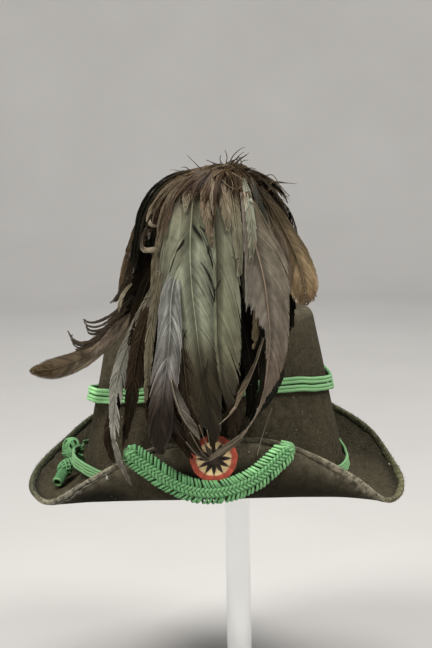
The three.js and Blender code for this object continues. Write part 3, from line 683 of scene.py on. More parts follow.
# ------------------------------------------------------------------ base braid: four ribs side by side
ps = Parts()
n = 560
deg = np.linspace(BASE[0, 0], BASE[-1, 0], n)
t = np.radians(deg)
z, off = row_col(BASE[:, 0], BASE[:, 1], deg), row_col(BASE[:, 0], BASE[:, 2], deg)
off = off + np.interp(deg, [168, 176, 184, 192, 200, 211], [0, 5.2, 6.2, 5.4, 3.2, 0])
slim = np.interp(deg, [494, 510], [1, .4])
z = z + np.interp(deg, [168, 176, 188, 200, 212, 224], [0, 2.6, 5.0, 4.6, 2.0, 0])
for k in range(4):
    w = (k - 1.5) * 2.15
    p, nn, up = crown_wall(t, z, off + BRAID_T * 0.5 + 0.15 * np.sin(t * 40 + k * 1.7))
    p = p + up * (w * slim + 0.12 * np.sin(t * 33 + k))[:, None]
    v, f = tube(p, 1.16 * np.sqrt(slim), 8, False, nn, ply=2, pitch=2.9, depth=0.10)
    # ribs darker over the braid's last stretch, into the knot: painted shade
    ps.add(v, f, shade(v, 8, False, 1.02 + 0.04 * (k - 1.5)) * np.r_[np.repeat(np.interp(deg, [490, 502], [1, .3]), 8), 1, .3][:, None])
base_ob = ps.build("crown_foot_braid", CORD)
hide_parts("base_braid")
pieces.append(base_ob)

# ------------------------------------------------------------------ knot and tassel


def flat_band(ps, pts, n, ribs, r, normal, spread=1.9, closed=False):
    """A band of parallel ribs along pts; normal is the way it faces."""
    p, _ = smooth_path(pts, n, closed)
    t = tangents(p, closed)
    nn = np.asarray(normal, float)
    nn = p - nn if nn.shape == (3,) else nn
    nn = unit(nn - t * (nn * t).sum(-1, keepdims=True))
    side = np.cross(t, nn)
    for k in range(ribs):
        w = (k - (ribs - 1) / 2) * spread * r
        v, f = tube(p + side * w + nn * 0.1 * np.sin(np.linspace(0, 9, len(p)) + k)[:, None], r, 8, closed, nn, ply=2, pitch=2.8, depth=0.1)
        ps.add(v, f, shade(v, 8, closed, np.array([.72, .86, .80]) * (1 + 0.07 * (k - 1))))


ps = Parts()
K = KNOT
kn = lambda x, y, z: K + np.array([x, y, z])
# loops of the ball, each in its own plane
for ang, lean, rad, off_ in ((0.15, .25, 6.6, (-1.2, 0, 1.2)), (.66, -.45, 6.2, (-1.2, -.2, 1.4)), (1.15, -.2, 6.4, (-1.0, -.4, 1.6)), (2.2, .3, 6.5, (-1.4, 0, 1.4)), (2.75, -.35, 6.0, (-.4, -.6, 2.0))):
    ring = []
    for q in np.linspace(0, 2 * PI, 17)[:-1]:
        c0, z0 = rad * math.cos(q), rad * 1.06 * math.sin(q)
        ring.append(K + np.array(off_) + np.array([c0 * math.cos(ang) - lean * z0 * math.sin(ang), c0 * math.sin(ang) + lean * z0 * math.cos(ang), z0]))
    flat_band(ps, ring, 64, 2, .80, K + np.array(off_), spread=2.0, closed=True)
# band laid round the middle
for j in range(2):
    ring = [K + np.array([8.0 * math.cos(q) + .4, 7.6 * math.sin(q), -3.4 + 2.9 * j + 1.7 * math.cos(q + .3)]) for q in np.linspace(0, 2 * PI, 17)[:-1]]
    flat_band(ps, ring, 90, 2 if j else 3, .86, K, spread=1.9, closed=True)
# end that crosses down in front to the crown's foot braid
flat_band(ps, [kn(-3.6, -6.8, 1.0), kn(-1.2, -8.9, -2.2), kn(2.6, -9.8, -4.0), kn(7.2, -10.6, -4.6), kn(10.5, -12.6, -5.0)], 44, 4, 1.0, K + np.array([3, 8, 4]), spread=1.95)
flat_band(ps, [kn(5.6, -5.6, 1.2), kn(8.4, -6.6, 2.6), kn(10.4, -7.0, 5.6)], 18, 1, .6, K + np.array([2, 10, 0]))
# filled heart in painted-shade green, so no light shows through the wraps
g = np.linspace(0, PI, 10)[1:-1]
h = np.arange(16) / 16 * 2 * PI
heart = np.stack([5.4 * np.sin(g)[:, None] * np.cos(h), 5.4 * np.sin(g)[:, None] * np.sin(h), 6.0 * np.cos(g)[:, None] * np.ones(16)], -1) + K
v, f = loft(heart, first=K + [0, 0, 6.0], last=K - [0, 0, 6.0])
ps.add(v, f, SHADE_GREEN)
knot_ob = ps.build("braid_knot", CORD)
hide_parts("cord_knot")
pieces.append(knot_ob)

ps = Parts()
ax = unit(TAS_A - TAS_B)
e1 = unit(np.cross(ax, [0, 0, 1.0]))
e2 = np.cross(ax, e1)


def around_axis(r, al, q):
    return TAS_B + ax * np.asarray(al)[..., None] + (e1 * np.cos(q)[..., None] + e2 * np.sin(q)[..., None]) * np.asarray(r)[..., None]


prof = np.array([[4, 0.3], [4, 2.5], [0.4, 2.7], [0, 3.2], [0.2, 3.8], [1.2, 3.9], [12, 4.0], [13.6, 5.0], [16, 5.5], [20, 5.5], [24.5, 3.8], [27, 2.2], [27.6, 0.4]])
h = np.arange(28) / 28 * 2 * PI
# solid core of the tassel in painted-shade green, under the skirt threads
v, f = loft(around_axis(prof[:, 1][:, None] * np.ones(28), prof[:, 0][:, None] * np.ones(28), h[None, :]), first=TAS_B + ax * 4, last=TAS_B + ax * 27.7)
ps.add(v, f, SHADE_GREEN * 1.2)
for k in range(26):                                          # long threads of the skirt
    al = np.linspace(0.3, 13.2, 16)
    q = np.full(16, k / 26 * 2 * PI) + 0.04 * np.sin(al)
    v, f = tube(around_axis(np.full(16, 3.95), al, q), 0.43, 6, False, around_axis(np.full(16, 1.0), al, q) - around_axis(np.full(16, 0.0), al, q))
    ps.add(v, f, shade(v, 6, False, np.array([.26, .42, .36]) * (.78 + 0.5 * rng.random())))
q = np.arange(40) / 40 * 2 * PI                              # rolled rim of the hollow end
v, f = tube(around_axis(np.full(40, 3.3), np.full(40, 0.2), q), 0.95, 8, True, np.broadcast_to(ax, (40, 3)), ply=2, pitch=2.5)
ps.add(v, f, GREEN)
for k in range(9):                                           # net over the head
    for d in (-1, 1):
        al = np.linspace(12.6, 26.6, 30)
        r = np.interp(al, prof[5:, 0], prof[5:, 1]) + 0.35 + 0.22 * d * np.sin(np.linspace(0, 6 * PI, 30))
        q = k / 9 * 2 * PI + d * np.linspace(0, 0.62 * PI, 30)
        v, f = tube(around_axis(r, al, q), 0.6, 6, False, around_axis(r, al, q) - around_axis(0 * r, al, q))
        ps.add(v, f, shade(v, 6, False, np.array([.62, .78, .72])))
pth, _ = smooth_path([TAS_B + ax * 26.5, TAS_A + np.array([0.3, 1.5, 0.8]), K + np.array([-1.2, -5.0, -3.6])], 14)
v, f = tube(pth, 1.7, 8, ply=2, pitch=3)
ps.add(v, f, GREEN)
tas_ob = ps.build("netted_tassel", CORD)
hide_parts("cord_tassel")
pieces.append(tas_ob)

# ------------------------------------------------------------------ thick plait on the front flap
ps = Parts()
fy = flap_face(FESTOON[:, 0], FESTOON[:, 1])[:, 1]
path, plen = smooth_path(np.stack([FESTOON[:, 0], fy, FESTOON[:, 1]], -1), 400)
face = flap_face(path[:, 0], path[:, 2])
ahead = flap_face(path[:, 0] + 3, path[:, 2])
behind = flap_face(path[:, 0] - 3, path[:, 2])
p_t = tangents(path)
p_o = unit(np.stack([ahead[:, 1] - behind[:, 1], behind[:, 0] - ahead[:, 0], 0 * ahead[:, 0]], -1))
p_a = unit(np.cross(p_t, p_o))
p_a = np.where(p_a[:, 2:3] < 0, -p_a, p_a)
stand = np.zeros(len(path))
dist = np.linspace(0, plen, len(path))
endness = np.clip(1 - np.minimum(dist, plen - dist) / 38.0, 0, 1)
for k in (-0.8, 0, 0.8):
    q = path + p_a * (k * FEST_W / 2)
    stand = np.maximum(stand, ((flap_face(q[:, 0], q[:, 2]) - path) * p_o).sum(-1))
stand = stand + 0.7 + np.where(endness > 0, 1.15, 0)
kern = np.ones(41) / 41
stand = np.convolve(np.pad(stand, 20, mode="edge"), kern, mode="valid")


def on_braid(s, w, h):
    """Place on the plait: s along in mm, w across (-1..1), h off the flap in mm."""
    s = np.clip(s, 0, plen)
    g = lambda a: np.stack([np.interp(s, dist, a[:, c]) for c in range(3)], -1)
    st = np.interp(s, dist, stand)
    near = np.minimum(s, plen - s)
    size = np.where(near < 9, 0.35 + 0.65 * np.sqrt(np.clip(1 - (1 - near / 9) ** 2, 0, 1)), 1.0)
    return g(path) + g(p_a) * (w * FEST_W / 2 * size)[..., None] + g(p_o) * (st + h)[..., None]


PITCH_S, R_S = 2.92, 1.06
out_at = lambda q: np.stack([np.interp(np.clip(q, 0, plen), dist, p_o[:, c]) for c in range(3)], -1)
ns = int((plen - 4) / PITCH_S)
for i in range(ns):
    s0 = 0.6 + i * PITCH_S + 0.34 * rng.standard_normal()
    for side in (1, -1):                                     # the two rows of leaning strands
        b0 = s0 + (PITCH_S * 0.5 if side < 0 else 0)
        k = np.linspace(0, 1, 17)
        w = side * np.interp(k, [0, .14, .28, .5, .75, 1], [0.70, 0.96, 0.97, 0.78, 0.46, 0.16])
        hgt = np.interp(k, [0, .14, .28, .5, .75, 1], [0.9, 2.4, 4.2, 5.7, 5.5, 3.6]) + 0.28 * rng.standard_normal()
        al = b0 + np.interp(k, [0, .25, .6, 1], [-1.0, -0.2, 1.7, 4.0])
        pp = on_braid(al, w, hgt)
        pp[1:-1] = (pp[:-2] + 2 * pp[1:-1] + pp[2:]) / 4
        v, f = tube(pp, R_S * (1 + 0.06 * rng.standard_normal()), 9, False, out_at(al) + .5 * (on_braid(al, w, hgt) - on_braid(al, 0 * w, hgt)) / 8, ply=2, pitch=2.4, depth=0.12)
        ps.add(v, f, shade(v, 9, False, mix(np.array([.46, .66, .58]), np.array([1.05, 1.15, 1.1]), float(np.clip((s0 / plen - .5) / .3, 0, 1))) * 1.3 * (1 + 0.08 * rng.standard_normal()), 2.2))
k = np.arange(2, plen - 2, .4)
for j in range(3):                                           # three-strand plait along the middle
    ph_ = k / (PITCH_S * 3) * 2 * PI + j * 2 * PI / 3
    v, f = tube(on_braid(k, .31 * np.sin(ph_), 5.9 + .8 * np.sin(2 * ph_)), 1.12, 8, False, out_at(k), ply=2, pitch=2.6, depth=0.12)
    ps.add(v, f, shade(v, 8, False, np.array([.66, .86, .77]), 2.0))
# heart and flat back under the strands, in painted-shade green so the gaps read dark
k = np.linspace(0.5, plen - 0.5, 90)
ang = np.linspace(0, PI, 9)
core = np.stack([on_braid(k, np.full(90, 0.78 * math.cos(a)), np.full(90, 0.25 + 4.2 * math.sin(a))) for a in ang], 1)
v, f = loft(core)
ps.add(v, f, SHADE_GREEN)
# turned loops that finish the two ends
for s_end, sg in ((1.0, -1), (plen - 1.0, 1)):
    for q in range(3):
        k = np.linspace(-1, 1, 15)
        pp = on_braid(np.full(15, s_end) - sg * (q * 1.7 + 2.6 * k ** 2), k * (0.92 - 0.14 * q), 2.0 + 1.3 * q + 1.4 * (1 - k ** 2))
        pp = pp + np.interp(1 - k ** 2, [0, 1], [0, 1])[:, None] * sg * 1.2 * np.array([1.0, 0, 0.5 if sg > 0 else -0.5])
        v, f = tube(pp, 1.15, 8, False, np.broadcast_to(out_at(np.array([s_end]))[0], pp.shape), ply=2, pitch=2.6)
        ps.add(v, f, shade(v, 8, False, .95))
fest_ob = ps.build("front_plait", CORD)
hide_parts("front_braid")
pieces.append(fest_ob)

# ------------------------------------------------------------------ cockade: pleated ribbon rosette
ps = Parts()
NP_, NA = 12, 12 * 20
R = COCK["r"] * 1.09
COCK = dict(COCK, x=COCK["x"] + .5, z=COCK["z"] - .5)
back_y = float(flap_face(np.array(COCK["x"]), np.array(COCK["z"]))[1]) - 1.9
a = np.arange(NA) / NA * 2 * PI
rr = np.r_[np.linspace(0.02, 0.22, 6), np.linspace(0.25, 0.99, 26), 1.0]
ph = (a * NP_ / (2 * PI)) % 1.0
saw = np.where(ph < 0.82, ph / 0.82, (1 - ph) / 0.18)         # lapped pleats
wig = 1 + 0.012 * np.sin(a * NP_ + 0.6) + 0.010 * np.sin(a * 5)


def rose(r, lift):
    return np.stack([COCK["x"] + R * r * wig * np.cos(a), back_y - lift, COCK["z"] + R * r * wig * np.sin(a)], -1)


rings, cols = [], []
for r in rr:
    lift = 0.9 + 1.35 * (saw - 0.35) * np.clip((r - 0.18) / 0.2, 0, 1) * (1 - 0.85 * np.clip((r - .45) / .35, 0, 1)) + 1.0 * (1 - np.clip((r - 0.62) / 0.38, 0, 1) ** 2)
    if r < 0.23:
        lift = 2.3 + 0.9 * math.sqrt(max(0, 1 - (r / 0.24) ** 2)) + 0 * a
    rings.append(rose(r, lift))
    valley = np.clip(1 - ph / 0.16, 0, 1) + np.clip((ph - 0.9) / 0.1, 0, 1)
    # gold lighter at the middle of each pleat and darker at its folds: painted light and shade
    gold = np.array([0.88, 0.68, 0.36]) * (0.62 + 0.5 * np.sin(PI * np.clip(ph, 0, 1))[:, None])
    black = np.array([0.022, 0.018, 0.013])
    # red lighter up each pleat's rise: painted light and shade
    red = np.array([0.54, 0.095, 0.055]) * (0.72 + 0.42 * saw[:, None])
    near = np.minimum(ph, 1 - ph)
    wedge = np.clip((.54 * np.clip((.72 - r) / .37, 0, 1) ** 1.25 + .03 * (r < .70) - near) / .05 + .5, 0, 1)[:, None]
    g = gold * (1 - wedge) + black * wedge
    k1 = np.clip((r - 0.20) / 0.04, 0, 1)
    k2 = np.clip((r - (0.735 - 0.06 * np.clip(1 - near / .16, 0, 1) ** 2)) / 0.025, 0, 1)[:, None]
    c = black * (1 - k1) + g * k1
    c = c * (1 - k2) + red * k2
    cols.append(np.clip(c, 0, 1))
# rolled edge and back of the rosette darker: painted shade
rings.append(rose(0.985, 0.35 + 0 * a))
cols.append(cols[-1] * 0.7)
rings.append(rose(0.9, 0.0 + 0 * a))
cols.append(cols[-1] * 0.7)
v, f = loft(np.stack(rings), first=np.array([COCK["x"], back_y - 3.2, COCK["z"]]), last=np.array([COCK["x"], back_y, COCK["z"]]))
ps.add(v, f, np.concatenate([np.stack(cols).reshape(-1, 3), [[.02, .02, .015], [.1, .02, .01]]]))
cock_ob = ps.build("ribbon_cockade", COCKADE_M)
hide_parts("cockade")
pieces.append(cock_ob)

# ------------------------------------------------------------------ feathers


def plume_y(x, z, lay=0.0):
    """Front surface of the bunch."""
    xm, hw = np.interp(z, PL_Z, PL_X), np.interp(z, PL_Z, PL_H)
    fr, bk = np.interp(z, PL_Z, PL_F), np.interp(z, PL_Z, PL_B)
    k = np.clip(abs(x - xm) / hw, 0, 0.985)
    return (fr + bk) / 2 - (bk - fr) / 2 * math.sqrt(1 - k * k) + lay


def place(pts, lay):
    """Picture places laid on the bunch's front, lay mm behind it."""
    res = []
    for q in pts:
        y = -90.0
        for _ in range(7):
            p = px(q[0], q[1], y)
            y = plume_y(p[0], p[2], q[4] if len(q) > 4 else lay)
        res.append(px(q[0], q[1], y))
    return np.array(res)


def outward(p):
    """Way out of the bunch at p."""
    xm = np.interp(p[:, 2], PL_Z, PL_X)
    up = np.clip((p[:, 2] - 185) / 70, 0, 1.2)
    return unit(np.stack([(p[:, 0] - xm) / 75.0 * .6, np.minimum((p[:, 1] + 50) / 55.0, -.6), up * .8], -1))


def feather(ps, p3, wl, wr, cols, pitch=None, slant=25, camber=0.14, slits=(), trims=(), loose=1.0, fray=0.0, normal=None, rach=0.55,
            segs=5, lift=0.14, tone=0.07, edge=None, rc=None, small=1.0, edge_fade=True):
    """One feather on the curve p3, base to tip: rachis and barbs.
    wl, wr: half width of the vane on its two sides at each point of p3, mm.
    slits: (side, along, opening, spread); trims: (side, from, to, kept part); cols: (along, colour)."""
    pitch = pitch or (.8 if ps is front else 1.15 if ps is mid_f else 1.4)
    n = 90
    p3 = np.asarray(p3, float)
    p, L = smooth_path(p3, n)
    key = np.r_[0, np.cumsum(np.linalg.norm(np.diff(p3, axis=0), axis=1))]
    key = key / key[-1]
    sk = np.linspace(0, 1, n)
    t = tangents(p)
    nn = outward(p) if normal is None else np.broadcast_to(np.asarray(normal, float), p.shape)
    nn = unit(nn - t * (nn * t).sum(-1, keepdims=True))
    b = np.cross(t, nn)
    ca, cc = np.array([c[0] for c in cols]), np.array([c[1] for c in cols])
    colour = lambda s: np.stack([np.interp(s, ca, cc[:, k]) for k in range(3)], -1)
    at = lambda arr, s: np.stack([np.interp(s, sk, arr[:, k]) for k in range(3)], -1)
    r = np.interp(sk, [0, .5, 1], [rach, rach * .7, .15])
    ix = np.unique(np.r_[np.arange(0, n, 2 if L > 90 and ps is front else 4), n - 1])
    sd_ = 5 if rach > .5 else 4
    v, f = tube((p + nn * 0.12)[ix], r[ix], sd_, False, nn[ix])
    shaft = (colour(sk) * 1.02 + np.array([0.014, 0.012, 0.008]) if rc is None else np.broadcast_to(np.asarray(rc, float), (n, 3)))[ix]
    ps.add(v, f, np.concatenate([np.repeat(shaft[:, None, :], sd_, 1).reshape(-1, 3), shaft[:1], shaft[-1:]]))
    kern = np.ones(7) / 7
    for side, rows in ((1, wl), (-1, wr)):
        w = np.interp(sk, key, np.asarray(rows, float))
        if w.max() < 0.45:
            continue
        w = np.convolve(np.pad(w, 3, mode="edge"), kern, mode="valid")
        w[-1] = min(w[-1], 0.3)
        es = np.r_[0, np.cumsum(np.hypot(np.diff(sk) * L, np.diff(w)))]
        m = max(8, int(es[-1] / pitch))
        e = np.interp(np.linspace(0, es[-1], m) + rng.normal(0, .12 * pitch, m), es, sk)
        W = np.interp(e, sk, w)
        s = np.sort(np.maximum(e - W / math.tan(math.radians(slant)) / L, 0.02 * e))
        grp = np.cumsum(rng.random(m) < pitch / 8.0)             # barbs cling in groups
        ng = grp[-1] + 1
        fin = np.cumsum(rng.random(m) < pitch / 1.7)
        nf = fin[-1] + 1
        off = rng.normal(0, .22, m) + (loose * rng.normal(0, .45, ng))[grp] + (loose * rng.normal(0, .35, nf))[fin]
        cut = 1 + rng.normal(0, .01, m) + (rng.normal(0, .018, ng) * loose)[grp]
        if fray:
            cut = cut * np.where(rng.random(m) < fray, 1 - .5 * rng.random(m), 1)
        for sd, a, z, keep in trims:
            sel = (e > a) & (e < z) & (sd == side)
            k0, k1 = keep if isinstance(keep, tuple) else (keep, keep)
            cut = np.where(sel, mix(k0, k1, np.clip((e - a) / (z - a), 0, 1)) * (1 + .12 * rng.normal(0, 1, ng)[grp] + .06 * rng.normal(0, 1, m)), cut)
        cut = np.clip(cut, .06, 1.1)
        cracks = [c for c in slits if c[0] == side]
        cracks += [(side, rng.uniform(.05, .9), rng.uniform(.1, .7) * small, rng.uniform(5, 8)) for _ in range(int(L / 20 * small))]
        for sd, s0, wide, spread in cracks:                       # the vane parts there
            d = (s - s0) * L
            off = off + np.where(d < 0, -1, 1) * (wide + 1.5 * pitch) / 2 / math.sin(math.radians(slant)) * np.exp(-np.abs(d) / max(spread, 3 * wide))
        q = np.linspace(0, 1, segs)
        Q = q[None, :] * cut[:, None]
        al = s[:, None] + (e - s)[:, None] * (Q - .35 * Q * (1 - Q)) + off[:, None] * Q ** 1.2 / L
        ac = W[:, None] * (Q + .35 * Q * (1 - Q))
        alc = np.clip(al, 0, 1)
        Bb, Nn = at(b, alc) * side, at(nn, alc)
        C = at(p, alc) + t[-1] * (np.maximum(al - 1, 0) * L)[..., None] + Bb * ac[..., None]
        C = C - Nn * (camber * ac ** 2 / max(w.max(), 1.0) - (rng.normal(0, lift, ng)[grp] + rng.normal(0, lift * .8, nf)[fin])[:, None] * Q ** 1.5 * 2)[..., None]
        D = unit(np.gradient(C, axis=1))
        nx = np.concatenate([C[1:] - C[:-1], C[-1:] - C[-2:-1]])
        gap = np.linalg.norm(np.cross(nx, D), axis=-1)
        gap = np.maximum(gap, np.concatenate([gap[:1], gap[:-1]]))
        hw = np.clip(gap * .62, .16, np.interp(q, [0, .35, .7], [3.0, 1.5, .8])[None, :] * pitch) * np.interp(q, [0, .85, 1], [1, .95, .35])[None, :]
        U = unit(np.cross(Nn, D))
        tilt = (rng.normal(.12, .05, m) + rng.normal(0, .16, nf)[fin])[:, None]
        v0 = C - U * hw[..., None] - Nn * (.07 + tilt * hw)[..., None]
        v1 = C + U * hw[..., None] - Nn * (.07 - tilt * hw)[..., None]
        v2 = C + Nn * .08
        V = np.stack([v0, v1, v2], 2)
        i = np.arange(m)[:, None, None] * segs * 3
        j = np.arange(segs - 1)[None, :, None] * 3
        k = np.arange(3)[None, None, :]
        k2 = (k + 1) % 3
        A, B2, C2, D2 = i + j + k, i + j + 3 + k, i + j + 3 + k2, i + j + k2
        F = np.concatenate([np.stack([A, B2, C2], -1).reshape(-1, 3), np.stack([A, C2, D2], -1).reshape(-1, 3)])
        i0 = np.arange(m) * segs * 3
        e0 = i0 + (segs - 1) * 3
        F = np.concatenate([F, np.stack([i0, i0 + 2, i0 + 1], -1), np.stack([e0, e0 + 1, e0 + 2], -1)])
        tn = ((1 + rng.normal(0, tone * 1.2, ng)[grp]) * (1 + rng.normal(0, tone * 2.4, nf)[fin]) * (1 + rng.normal(0, tone, m)))[:, None, None]
        col_ = colour(alc)
        if edge is not None:
            rim = edge[0 if side > 0 else 1] if isinstance(edge, list) else edge
            k_ = (rim[1] * Q ** 1.6 * (np.interp(alc, [.5, .68], [1, .05]) if isinstance(edge, list) and edge_fade else 1))[..., None]
            col_ = col_ * (1 - k_) + np.asarray(rim[0]) * k_
        # barbs darker at their roots by the shaft: painted shade; a little darker at their tips too
        col_ = col_ * tn * np.interp(q, [0, .05, .18, .85, 1], [.8, .93, 1, 1, .88])[None, :, None]
        ps.add(V.reshape(-1, 3), F, np.repeat(np.clip(col_, 0, 1)[:, :, None, :], 3, 2).reshape(-1, 3))


# colours by name (linear)
TOPB, GREYG, GREY2, LAV = (0.085, 0.052, 0.026), (0.245, 0.262, 0.185), (0.18, 0.185, 0.12), (0.25, 0.255, 0.243)
MAUVE, MAUVE2, BROWN, RUST = (0.165, 0.135, 0.100), (0.150, 0.110, 0.084), (0.150, 0.105, 0.058), (0.165, 0.100, 0.048)
DARK, BLACK, PURP, TANC, CREAM = (0.020, 0.014, 0.008), (0.005, 0.005, 0.0035), (0.022, 0.014, 0.010), (0.14, 0.098, 0.056), (0.25, 0.205, 0.132)
PALE, OLIVE, BRN2, BRN3 = (0.205, 0.205, 0.165), (0.145, 0.128, 0.078), (0.060, 0.042, 0.024), (0.090, 0.064, 0.036)

front, mid_f, second, under = Parts(), Parts(), Parts(), Parts()


def show(ps, rows, lay, cols, **kw):
    """rows: picture place along the shaft and the vane's reach to its left and right, in picture dots."""
    p3 = place(rows, lay)
    sc = (p3 - CAM) @ FWD / FOC
    r = np.array([q[2:4] for q in rows], float) * sc[:, None]
    feather(ps, p3, r[:, 0], r[:, 1], cols, **kw)


def show_at(ps, rows, cols, **kw):
    """As show, with the depth given in each row: (u, v, left, right, y)."""
    p3 = np.array([px(q[0], q[1], q[4]) for q in rows])
    sc = (p3 - CAM) @ FWD / FOC
    r = np.array([q[2:4] for q in rows], float) * sc[:, None]
    feather(ps, p3, r[:, 0], r[:, 1], cols, **kw)


def lock(ps, rows, lay, cols, count=7):
    """Loose barbs that run side by side; rows as for show."""
    p3 = place(rows, lay)
    w = np.array([q[2] for q in rows], float) * ((p3 - CAM) @ FWD / FOC)
    key = np.r_[0, np.cumsum(np.linalg.norm(np.diff(p3, axis=0), axis=1))]
    m = 13
    p, _ = smooth_path(p3, m)
    sk = np.linspace(0, 1, m)
    w = np.interp(sk, key / key[-1], w)
    t = tangents(p)
    nn = outward(p)
    nn = unit(nn - t * (nn * t).sum(-1, keepdims=True))
    b = np.cross(t, nn)
    c = np.stack([np.interp(sk, [q[0] for q in cols], [q[1][k] for q in cols]) for k in range(3)], -1)
    for j in range(count):
        e = int(rng.integers(8, m + 1))
        q = p + b * (w * rng.uniform(-1, 1) * (1 + .3 * np.sin(3 * sk + rng.uniform(0, 6))))[:, None] + nn * rng.normal(0, .3)
        v, f = tube(q[:e], np.linspace(.46, .14, e), 4, False, nn[:e])
        cj = c[:e] * rng.uniform(.65, 1.3)
        ps.add(v, f, np.concatenate([np.repeat(cj, 4, 0), cj[:1], cj[-1:]]))


# the broad grey-green pair in the middle
show(front, [(197, 176, 5, 7), (193, 200, 15, 13), (191, 225, 24, 19), (190, 250, 30, 22), (191, 275, 33, 24), (193, 300, 33, 23), (196, 325, 31, 21), (199, 350, 27, 19), (203, 375, 23, 17), (208, 400, 19, 14), (213, 424, 12, 9), (217, 442, 2, 2)], 2,
     [(0, TOPB), (.1, (.15, .13, .085)), (.22, (.245, .256, .175)), (.4, (.285, .305, .22)), (.57, (.255, .268, .19)), (.65, (.135, .13, .085)), (.74, (.038, .031, .018)), (1, (.016, .012, .007))],
     slits=((1, .215, 3.4, 6), (1, .30, 1.6, 4), (-1, .16, 2.2, 4), (-1, .30, 1.8, 5), (1, .62, 1.6, 4), (-1, .56, 1.2, 3), (1, .74, 1.5, 3)), slant=21, tone=.045, edge=[((.085, .078, .052), .8), ((.215, .22, .165), .5)])
show(front, [(212, 172, 4, 6), (214, 200, 7, 12), (216, 230, 6, 18), (217, 260, 4, 22), (217, 300, 3, 24), (218, 340, 3, 23.5), (221, 370, 3, 20), (225, 392, 3, 12), (229, 408, 1, 2)], -0.5,
     [(0, TOPB), (.12, (.16, .135, .09)), (.3, (.172, .175, .118)), (.65, (.185, .19, .125)), (.80, (.145, .14, .09)), (.91, (.06, .05, .032)), (1, DARK)],
     slits=((-1, .36, 1.4, 4), (-1, .2, 1.2, 4), (-1, .66, 1.3, 3)), slant=17, tone=.045, edge=[((.215, .22, .165), .5), ((.215, .22, .165), .5)], rc=(.05, .045, .03))
RIPS = ([(184, 239.5, .8, .8), (182, 244, 1.5, 1.3), (177, 251, 1.1, 1.1), (172, 259, .9, .9), (166, 272, .2, .2)], [(183, 258, .3, .3), (177, 268, .6, .6), (170, 276, .4, .4), (165, 280, .2, .2)],
        [(192.5, 224.5, .7, .7), (196, 230.5, 1.9, 1.9), (199, 235, 1.6, 1.6), (201.5, 240, .3, .3)], [(200, 226.5, .4, .4), (204, 230.5, .7, .7), (208, 235, .2, .2)],
        [(203, 191, .3, .3), (207, 199, .6, .6), (211, 207, .2, .2)], [(207.5, 246, .3, .3), (208, 250, .8, .8), (207.5, 254, .2, .2)],
        [(200.5, 262, .3, .3), (206, 270, .8, .8), (210.5, 280, 1.1, 1.1), (214, 291, 1.2, 1.2), (214.5, 302, .3, .3)], [(210, 255, .3, .3), (214.5, 263, .6, .6), (216, 273, .2, .2)],
        [(220.5, 280, .4, .4), (218, 286, .8, .8), (215, 291, .3, .3)], [(243, 250, .3, .3), (246.5, 263, .9, .9), (249, 278, .2, .2)], [(232, 256, .2, .2), (236.5, 264, .5, .5), (239, 270, .2, .2)],
        [(196, 280, .2, .2), (200, 287, .4, .4), (204, 295, .2, .2)], [(208, 358, .2, .2), (206, 372, .8, .8), (203, 384, .2, .2)], [(186, 330, .2, .2), (181, 346, .9, .9), (178, 362, .2, .2)], [(226, 205, .2, .2), (231, 224, .5, .5), (236, 238, .2, .2)])
for rows in RIPS:                                            # where the barbs part, dark strips put in as painted shade of the hollow behind
    mid_u = [float(np.interp(q[1], [176, 225, 300, 400], [197, 190, 193, 208])) for q in rows]
    show(front, [(*q, .9 + .14 * ((q[0] - m_) * .76) ** 2 / 25 if q[0] < 214 else -1.7) for q, m_ in zip(rows, mid_u)], 0, [(0, (.012, .010, .007)), (1, (.008, .007, .005))], slant=10, rach=.2, pitch=.8, segs=4, small=0, loose=.3, lift=.02)
for k in range(9):                                           # brown-mauve barbs along the upper left of the middle pair
    w_ = rng.uniform(.8, 1.5)
    q = rng.normal(0, 1.5)
    show(front, [(188 - k + q, 184, w_ * .5, w_ * .5), (181 - k * 1.5 + q, 202, w_, w_), (175 - k * 1.5 + q, 222, w_, w_), (171 - k * 1.4 + q, 238 + 3 * k, .2, .2)], 3.2, [(0, TOPB), (.4, [(.135, .105, .075), (.10, .078, .054), (.165, .14, .10)][k % 3]), (1, (.16, .148, .108))], slant=10, rach=.25, pitch=1.6, segs=4, small=0)
# pale lavender feather with a dark tip
show(front, [(183, 256, 2, 2, 5), (177.5, 270, 3.5, 4.5, 3.4), (174, 282, 8, 6.5, 1), (171.5, 296, 11.5, 9, -1.2), (170.5, 312, 13, 10.5, -2.4), (170, 332, 13, 12, -3), (168, 355, 13, 13, -3), (165, 380, 15, 14, -3), (162, 405, 14, 12, -3), (160, 428, 12.5, 12, -3), (160, 444, 9.5, 9, -3), (160, 455, 1.5, 1.5, -3)], -3,
     [(0, (.15, .15, .12)), (.15, (.238, .246, .222)), (.36, (.262, .268, .248)), (.48, (.215, .213, .200)), (.57, (.172, .164, .155)), (.66, (.130, .112, .100)), (.73, (.055, .042, .034)), (.8, (.022, .015, .010)), (1, (.012, .008, .005))],
     slits=((1, .5, 1.6, 4), (-1, .56, 1.6, 4), (1, .68, 1.8, 3), (-1, .42, 1.0, 3)), slant=18, tone=.09, edge=[((.15, .14, .128), .5), ((.10, .09, .075), .5)])
